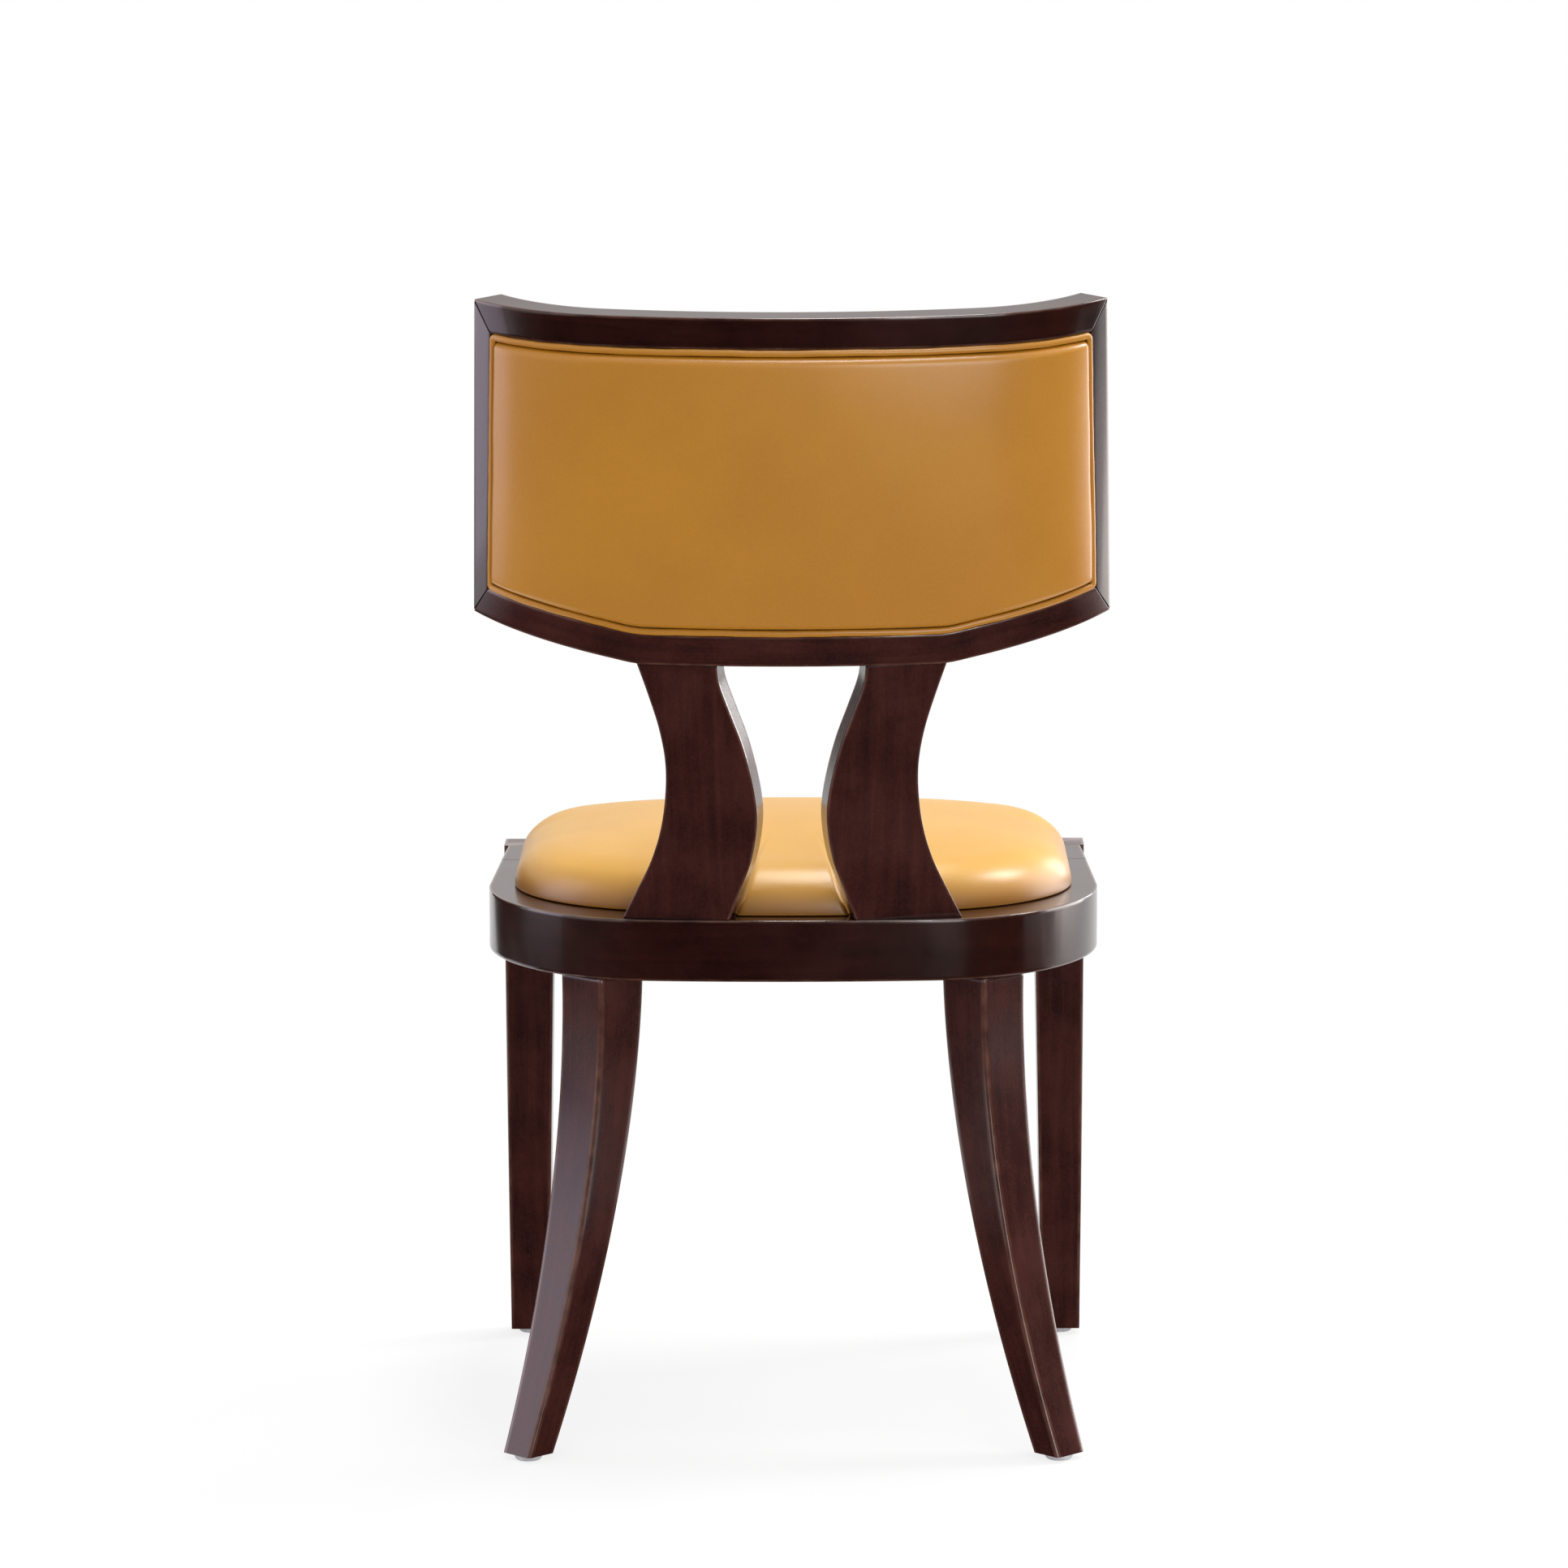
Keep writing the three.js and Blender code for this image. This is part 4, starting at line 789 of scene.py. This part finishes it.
def pad(name, face, rear, board):
    """A pad with a leather face, closed against the board behind it."""
    across, up = rim_shares(FIELD_WIDTH, 120), rim_shares(FIELD_HEIGHT, 52)
    columns, rows = len(across) - 1, len(up) - 1
    move = pressed_field(face, rear)
    places, edge = [], []
    for layer in (0, 1):
        for row, v in enumerate(up):
            for column, u in enumerate(across):
                if layer:
                    places.append(at(*on_pad(u, v, board)))
                else:
                    places.append(at(*on_pad(u, v, face(u, v), overhang(u, v))) + move(u, v))
                # Painted shade: the first rows next to the seam darken towards the seam colour, in the
                # crease against the piping; the back layer, hidden against the board, takes it all
                # over.
                rim = min(row, rows - row, column, columns - column)
                edge.append(1.0 if layer else (1.0, 0.45, 0.12, 0.0)[min(rim, 3)])
    layer = (columns + 1) * (rows + 1)
    faces = grid_faces(columns, rows, rear)
    faces += [tuple(layer + a for a in reversed(corners)) for corners in faces]
    rim = pad_rim(columns, rows)
    for i, a in enumerate(rim):
        b = rim[(i + 1) % len(rim)]
        faces.append((b, a, layer + a, layer + b))
    return body(name, places, faces, edge=edge, sharp=60)


BOARD, PAD_SINK, FRONT_CROWN = 9, 1.4, 9.5
BOARD_REAR = (BACK_THICK - BOARD) / 2
rear_pad = pad("rear_back_pad", lambda u, v: PAD_SINK - fullness(u, v), True, BOARD_REAR - JOINT)
finish_piece(rear_pad, saddle, "leather", "back_rear_cover", "back_rear_foam")
front_pad = pad(
    "front_back_pad",
    lambda u, v: BACK_THICK - PAD_SINK + fullness(u, v) + FRONT_CROWN * crown(u, v), False,
    BOARD_REAR + BOARD + JOINT)
finish_piece(front_pad, saddle, "leather", "back_front_cover", "back_front_foam")

# ---------------------------------------------------------------------------------------------
# Piping of the back: a cord in a folded strip of the same leather, laid in the corner between
# the frame and the pad, on both sides of the back.
CORNER = 3


def piping_way():
    """Its way round the field as closely spaced (run, rise), with rounded corners."""
    inset = PIPING / 2 + JOINT

    def low(run):
        return open_low(run) + inset

    top = OPEN_TOP - inset
    low_side = low(IN_BOTTOM)
    bottom_end = open_run(low_side) - inset - CORNER
    half = [(mix(0, bottom_end, s), low(mix(0, bottom_end, s))) for s in steps(60)]
    corner_low = low(bottom_end) + CORNER
    half += [(bottom_end + CORNER * sin(s * pi / 2), corner_low - CORNER * cos(s * pi / 2))
             for s in steps(8)[1:-1]]
    corner_high = top - CORNER
    half += [(open_run(r) - inset, r) for r in (mix(corner_low, corner_high, s) for s in steps(40))]
    top_end = open_run(corner_high) - inset - CORNER
    half += [(top_end + CORNER * cos(s * pi / 2), corner_high + CORNER * sin(s * pi / 2))
             for s in steps(8)[1:-1]]
    half += [(mix(top_end, 0, s), top) for s in steps(60)]
    return half + [(-run, rise) for run, rise in half[-2:0:-1]]


def piping(name, depth):
    """The cord, a little out of true as it was sewn."""
    way = piping_way()
    sides = 12
    places, edge = [], []
    for i, (run, rise) in enumerate(way):
        before, after = way[i - 1], way[(i + 1) % len(way)]
        along = Vector((after[0] - before[0], after[1] - before[1])).normalized()
        stray = 0.22 * sin(run / 17 + 1) * sin(rise / 23) + 0.1 * sin(run / 5.3 + rise / 4.1)
        for side in range(sides):
            turn = 2 * pi * side / sides
            aside = (PIPING / 2 + 0.25) * cos(turn) + stray
            places.append(at(*on_back(run + aside * along.y, depth + PIPING / 2 * sin(turn),
                                      rise - aside * along.x)))
            edge.append(0.0)
    return body(name, places, ring_faces(len(way), sides, True), edge=edge, sharp=80)


rear_piping = piping("rear_back_piping_cord", 0.3)
finish_piece(rear_piping, saddle, "leather", "back_rear_piping")
front_piping = piping("front_back_piping_cord", BACK_THICK - 0.3)
finish_piece(front_piping, saddle, "leather", "back_front_piping")

# ---------------------------------------------------------------------------------------------
# Drop-in seat: the back's saddle leather, painted lighter for the strong light from above, pulled over
# foam on a plywood board, full at the edge, crowned in the middle, with its rear edge swelling between
# the splats.
CUSHION_BASE = SEAT_TOP + JOINT
SIDE_SETBACK, SEAT_SETBACK, SPLAT_CLEAR = 20.75, 12, 5
CUSHION_REACH, CUSHION_REAR, CUSHION_FRONT = WIDEST - SIDE_SETBACK, 39, FRAME_DEPTH - SEAT_SETBACK
REAR_BOW, REAR_BOW_ANGLE, REAR_ROUND, FRONT_ROUND, SWELL = 900, radians(4.2), 150, 90, 18
tuck_shares = [(0, 1), (0.86, 0.995), (0.93, 0.97), (0.965, 0.9), (0.99, 0.7), (1.005, 0.35),
               (1.025, 0.08), (1.06, 0), (3, 0)]


def splat_gap(height):
    """Half of the clear gap between the splats at a height above the frame."""
    inner = splat_out.x * SPLAT_WIDTH * through(splat_inner, height / SPLAT_RISE)
    return splat_foot.x - SPLAT_CLEAR + inner


def cushion_outline(inset, height=0, bulge=SWELL):
    """The outline drawn in by an inset: evenly spaced places all round, from the rear middle."""
    half = []
    for share in steps(60):
        turn = share * REAR_BOW_ANGLE
        tuck = through(tuck_shares, turn * REAR_BOW / splat_gap(height))
        half.append(((REAR_BOW - inset) * sin(turn),
                     REAR_BOW * (cos(turn) - 1) - CUSHION_REAR - inset * cos(turn) + tuck * bulge))
    x = CUSHION_REACH - REAR_ROUND
    y = REAR_BOW * (cos(REAR_BOW_ANGLE) - 1) - CUSHION_REAR - REAR_ROUND * cos(REAR_BOW_ANGLE)
    radius = REAR_ROUND - inset
    for share in steps(40)[1:]:
        turn = mix(REAR_BOW_ANGLE, pi / 2, share)
        half.append((x + radius * sin(turn), y + radius * cos(turn)))
    front = max(FRONT_ROUND - inset, FRONT_ROUND / 4)
    front_x, front_y = CUSHION_REACH - inset - front, front + inset - CUSHION_FRONT
    half += [(CUSHION_REACH - inset, mix(y, front_y, share)) for share in steps(18)[1:-1]]
    for share in steps(24):
        turn = share * pi / 2
        half.append((front_x + front * cos(turn), front_y - front * sin(turn)))
    half += [(mix(front_x, 0, share), inset - CUSHION_FRONT) for share in steps(20)[1:]]
    return half + [(-x, y) for x, y in half[-2:0:-1]]


SHOULDER_RUN, SHOULDER_RISE, CROWN = 36, 38, 54.5
SHOULDER_TURN = radians(76)
HELD_RISE, HELD_BACK, HELD_REACH, HELD_MARGIN = 5, -50, 132, 2
VOXEL, CUSHION_MOVE, CUSHION_BEND = 7, 3, 20
cushion_middle = -(CUSHION_REAR + CUSHION_FRONT) / 2


def press_cushion(piece):
    """The cover pressed out by its foam, held along its base and beside the splats."""
    remesh = piece.modifiers.new("Remesh", "REMESH")
    remesh.mode, remesh.voxel_size = "VOXEL", VOXEL * MM
    even = piece.evaluated_get(bpy.context.evaluated_depsgraph_get()).data
    places = [spot.co.copy() for spot in even.vertices]
    faces = [tuple(face.vertices) for face in even.polygons]
    piece.modifiers.remove(remesh)
    base, splats = at(0, 0, CUSHION_BASE + HELD_RISE), at(0, HELD_BACK, 0)

    def beside_splats(spot):
        reach = abs(spot.x) / MM + HELD_MARGIN
        return spot.y > splats.y and splat_gap(spot.z / MM - CUSHION_BASE) < reach < HELD_REACH

    held = [i for i, spot in enumerate(places) if spot.z < base.z or beside_splats(spot)]
    moves = plumped(places, faces, held, CUSHION_MOVE * MM, CUSHION_BEND)
    tree = KDTree(len(places))
    for i, spot in enumerate(places):
        tree.insert(spot, i)
    tree.balance()
    for spot in piece.data.vertices:
        near = [(i, 1 / (distance + 0.0005) ** 2) for _, i, distance in tree.find_n(spot.co, 6)]
        move = sum((moves[i] * weight for i, weight in near), Vector((0, 0, 0)))
        spot.co += move / sum(weight for _, weight in near)


def seat_cushion(name):
    rings, dark = [], []
    # Painted shade: dark holds how far the leather goes towards its shade colour, most on the rings at
    # its foot, where it meets the frame.
    for inset, height in ((26, 0), (14, 0), (2.6, 0), (0.8, 0.3), (0.1, 1.0)):
        rings.append([(x, y, height) for x, y in cushion_outline(inset)])
        dark.append(0.8 if height < 0.5 else 0.35)
    for share in steps(24):
        run = (1 - cos(share * SHOULDER_TURN)) / (1 - cos(SHOULDER_TURN))
        rise = (0.05 + 0.95 * sin(share * SHOULDER_TURN) / sin(SHOULDER_TURN)) * SHOULDER_RISE
        rings.append([(x, y, rise) for x, y in cushion_outline(run * SHOULDER_RUN, rise)])
        # Painted shade down the lower side of the shoulder, gone about two thirds of the way up.
        dark.append(max(0, 0.7 - 1.1 * share))
    for k in range(1, 25):
        share = 1 - k / 25
        rim = cushion_outline(SHOULDER_RUN, SHOULDER_RISE, SWELL * share**5)
        height = mix(CROWN, SHOULDER_RISE, share**2)
        rings.append([(x * share, mix(cushion_middle, y, share), height) for x, y in rim])
        dark.append(0.0)
    count = len(rim)
    places = [at(x, y, CUSHION_BASE + z) for ring in rings for x, y, z in ring]
    edge = [value for value in dark for _ in range(count)]
    faces = [tuple(range(count))] + ring_faces(len(rings), count)
    places.append(at(0, cushion_middle, CUSHION_BASE + CROWN))
    edge.append(0.0)
    last = (len(rings) - 1) * count
    faces += [(last + k, last + (k + 1) % count, len(places) - 1) for k in range(count)]
    piece = body(name, places, faces, edge=edge, sharp=180)
    press_cushion(piece)
    shell = piece.modifiers.new("Leather thickness", "SOLIDIFY")
    shell.thickness = LEATHER * MM
    shell.offset = -1
    return piece


# The back's saddle leather, painted lighter where the top light falls on the seat; its third colour is
# the painted shade at the seat's foot and lower side.
saddle_painted_lighter = leather("Saddle leather painted lighter for the top light", colour(204, 157, 68), colour(195, 147, 58),
                      colour(112, 48, 6), 0.3, 0.2)
cushion = seat_cushion("seat_cushion")
finish_piece(cushion, saddle_painted_lighter, "leather", "seat_cover", "seat_foam")

# ---------------------------------------------------------------------------------------------
# Hidden joinery: beech dowels and corner blocks, the plywood boards, the black cloth under the
# seat, and the steel screws, bolts, washers and nuts.
def plain_material(name, base, other, rough, scale, bump_distance, metal=0.0):
    material = bpy.data.materials.new(name)
    tree, shader = tree_of(material)
    place = add(tree, "ShaderNodeTexCoord").outputs["Object"]
    noise = add(tree, "ShaderNodeTexNoise", [
        ("Vector", place), ("Scale", scale), ("Detail", 4.0), ("Roughness", 0.6)]).outputs["Fac"]
    tint = blend_colour(tree, ramp(tree, noise, 0.35, 0.65), base, other)
    tree.links.new(tint, shader.inputs["Base Color"])
    uneven = maths(tree, "ADD", rough, maths(tree, "MULTIPLY", noise, 0.12))
    tree.links.new(uneven, shader.inputs["Roughness"])
    bump = add(tree, "ShaderNodeBump", [
        ("Strength", 0.3), ("Distance", bump_distance), ("Height", noise)])
    tree.links.new(bump.outputs["Normal"], shader.inputs["Normal"])
    shader.inputs["Metallic"].default_value = metal
    return material


raw_beech = plain_material("Raw beech", colour(205, 172, 122), colour(184, 146, 98), 0.6, 60.0, 0.0003)
birch_ply = plain_material("Birch plywood", colour(216, 187, 140), colour(196, 162, 112), 0.62, 45.0,
                           0.0003)
black_cloth = plain_material("Black lining cloth", colour(30, 29, 30), colour(20, 19, 20), 0.85, 900.0,
                             0.0004)
zinc_steel = plain_material("Zinc-plated steel", colour(178, 180, 184), colour(150, 152, 158), 0.28,
                            140.0, 0.0001, 1.0)
node_finishes = {
    "mitre_dowel": raw_beech, "splat_dowel": raw_beech, "leg_dowel": raw_beech,
    "corner_block": raw_beech,
    "back_board": birch_ply, "seat_board": birch_ply, "dust_cover": black_cloth,
    "seat_screw": zinc_steel, "leg_bolt": zinc_steel, "leg_washer": zinc_steel, "leg_nut": zinc_steel,
}

# ---------------------------------------------------------------------------------------------
# Foot glides: grey-white moulded nylon discs, nailed into the end grain of each foot.
nylon = plain_material("Grey-white nylon", colour(214, 214, 218), colour(198, 198, 203), 0.38, 300.0,
                       0.0001)
node_finishes["foot_glide"] = nylon
for node_name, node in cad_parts.items():
    finish = next((node_finishes[key] for key in node_finishes if node_name.startswith(key)), None)
    if finish:
        node.data.materials.clear()
        node.data.materials.append(finish)

# ---------------------------------------------------------------------------------------------
# Studio: a pale floor, soft light from above and from both sides, and a long lens from behind.
def flat_sheet(name, corners, faces, material):
    mesh = bpy.data.meshes.new(name)
    mesh.from_pydata(corners, [], faces)
    mesh.materials.append(material)
    sheet = bpy.data.objects.new(name, mesh)
    bpy.context.scene.collection.objects.link(sheet)
    return sheet


def seen_rays(tree):
    """One for rays from the lens, mirrors and glass, and none for light that only falls."""
    path = add(tree, "ShaderNodeLightPath").outputs
    return maths(tree, "MAXIMUM", path["Is Camera Ray"],
                 maths(tree, "MAXIMUM", path["Is Glossy Ray"], path["Is Transmission Ray"]))


# The floor shows the chair's shadow near it, and runs out to plain white further off.
floor_paint = bpy.data.materials.new("White floor")
tree, shader = tree_of(floor_paint)
shader.inputs["Base Color"].default_value = colour(236, 236, 236)
shader.inputs["Roughness"].default_value = 0.55
place = add(tree, "ShaderNodeTexCoord").outputs["Object"]
away = add(tree, "ShaderNodeVectorMath", [(0, place)], operation="LENGTH").outputs["Value"]
white = add(tree, "ShaderNodeEmission", [("Color", (1, 1, 1, 1)), ("Strength", 1.0)])
plain = maths(tree, "ADD", 0.8, maths(tree, "MULTIPLY", ramp(tree, away, 0.4, 1.0, True), 0.2))
share = maths(tree, "MULTIPLY", plain, seen_rays(tree))
both = add(tree, "ShaderNodeMixShader", [(0, share), (1, shader.outputs[0]), (2, white.outputs[0])])
tree.links.new(both.outputs[0], tree.nodes["Material Output"].inputs["Surface"])
flat_sheet("floor", [(-9, -9, 0), (9, -9, 0), (9, 0.9, 0), (-9, 0.9, 0)], [(0, 1, 2, 3)], floor_paint)

# Dark flags on the floor, beside the chair and far behind the lens keep reflections out of the
# faces that look that way. Each is (x, y, z) of one corner and of the corner across from it.
flag_paint = bpy.data.materials.new("Dark flag")
tree, shader = tree_of(flag_paint)
shader.inputs["Base Color"].default_value = colour(14, 13, 14)
shader.inputs["Roughness"].default_value = 1.0
shader.inputs["Specular IOR Level"].default_value = 0.0
low, high = 0.004, 4.5
flag_corners, flag_faces = [], []
flag_spans = (
    (-3.6, 0.55, low, 3.2, 7.5, low), (-0.55, -0.3, low, 0.55, 0.55, low),
    (1.8, -1.15, low, 2.72, -0.3, low), (3.3, -1.3, low, 3.3, 0.75, 0.3),
    (1.4, -2.5, low, 2.9, -1.15, low), (2.9, -1.3, low, 1.45, -2.75, 0.95),
    (-2.3, -0.65, low, -2.3, -0.3, 0.15), (-2.3, -0.9, low, -2.3, -0.65, 0.06),
    (-2.7, -0.3, low, -1.1, 0.55, low), (1.2, -0.3, low, 2.72, 0.55, low),
    (-3.6, -0.3, low, -3.6, 7.5, 1.3), (-3.6, 7.5, low, 4.5, 7.5, high))
for x0, y0, z0, x1, y1, z1 in flag_spans:
    start = len(flag_corners)
    lies = z0 == z1
    flag_corners += [(x0, y0, z0), (x1, y0 if lies else y1, z0), (x1, y1, z1),
                     (x0, y1 if lies else y0, z1)]
    flag_faces.append((start, start + 1, start + 2, start + 3))
flag = flat_sheet("flag", flag_corners, flag_faces, flag_paint)
flag.visible_camera = False
flag.visible_diffuse = False
flag.visible_shadow = False


def softbox(name, place, aim, width, height, level, tint=(1, 1, 1)):
    """A soft lamp: its level is how bright it looks, where white paper looks 1."""
    light = bpy.data.lights.new(name, "AREA")
    light.shape = "RECTANGLE"
    light.size, light.size_y = width, height
    light.energy = level * pi * width * height
    light.color = tint
    lamp = bpy.data.objects.new(name, light)
    lamp.location = place
    lamp.rotation_euler = (Vector(aim) - Vector(place)).to_track_quat("-Z", "Y").to_euler()
    bpy.context.scene.collection.objects.link(lamp)
    return lamp


softbox("left softbox", (2.58, -0.15, 1.27), (0, -0.15, 1.27), 1.4, 2.22, 1.75, (1.0, 0.9, 1.1))
softbox("right softbox", (-2.35, -1.3, 0.98), (0, -1.3, 0.98), 1.9, 1.9, 3.3, (1.06, 0.98, 0.94))
softbox("front right softbox", (-1.9, -2.6, 1.15), (0, 0, 0.7), 0.45, 1.2, 8.0)
softbox("upper right softbox", (-2.2, -0.65, 2.7), (0, 0, 0.5), 0.8, 0.8, 23.0)
softbox("top softbox", (-0.25, -0.1, 3.4), (-0.25, 0, 0), 0.7, 2.3, 13.5)
softbox("lens side softbox", (-1.55, 3.7, 0.85), (0, 0, 0.8), 1.6, 1.6, 3.3)
softbox("lens side strip", (-1.0, 4.4, 1.75), (0, 0, 0.3), 0.3, 1.9, 14.0)

world = bpy.data.worlds.new("Studio")
bpy.context.scene.world = world
world.use_nodes = True
tree = world.node_tree
tree.nodes.clear()
soft = add(tree, "ShaderNodeBackground", [("Color", (1, 0.965, 0.945, 1)), ("Strength", 0.7)])
white = add(tree, "ShaderNodeBackground", [("Color", (1, 1, 1, 1)), ("Strength", 1.0)])
seen = add(tree, "ShaderNodeLightPath").outputs["Is Camera Ray"]
both = add(tree, "ShaderNodeMixShader", [(0, seen), (1, soft.outputs[0]), (2, white.outputs[0])])
add(tree, "ShaderNodeOutputWorld", [("Surface", both.outputs[0])])

bpy.context.scene.view_settings.view_transform = "Standard"

IMAGE, FOCAL_PIXELS = 1932, 8591
camera = bpy.data.cameras.new("camera")
camera.sensor_width = 36
camera.lens = FOCAL_PIXELS / IMAGE * camera.sensor_width
camera.clip_end = 60
view = bpy.data.objects.new("camera", camera)
bpy.context.scene.collection.objects.link(view)
PITCH, ROLL, YAW = radians(8.37), radians(0.15), radians(0.3)
ASIDE, DISTANCE, LENS_HEIGHT = 0.0064, 5.488, 1.357
view.location = (ASIDE - tan(YAW) * DISTANCE, DISTANCE + rear_face, LENS_HEIGHT)
forward = Vector((sin(YAW) * cos(PITCH), -cos(YAW) * cos(PITCH), -sin(PITCH)))
turn = forward.to_track_quat("-Z", "Y")
view.rotation_mode = "QUATERNION"
view.rotation_quaternion = turn @ Matrix.Rotation(-ROLL, 3, "Z").to_quaternion()
bpy.context.scene.camera = view
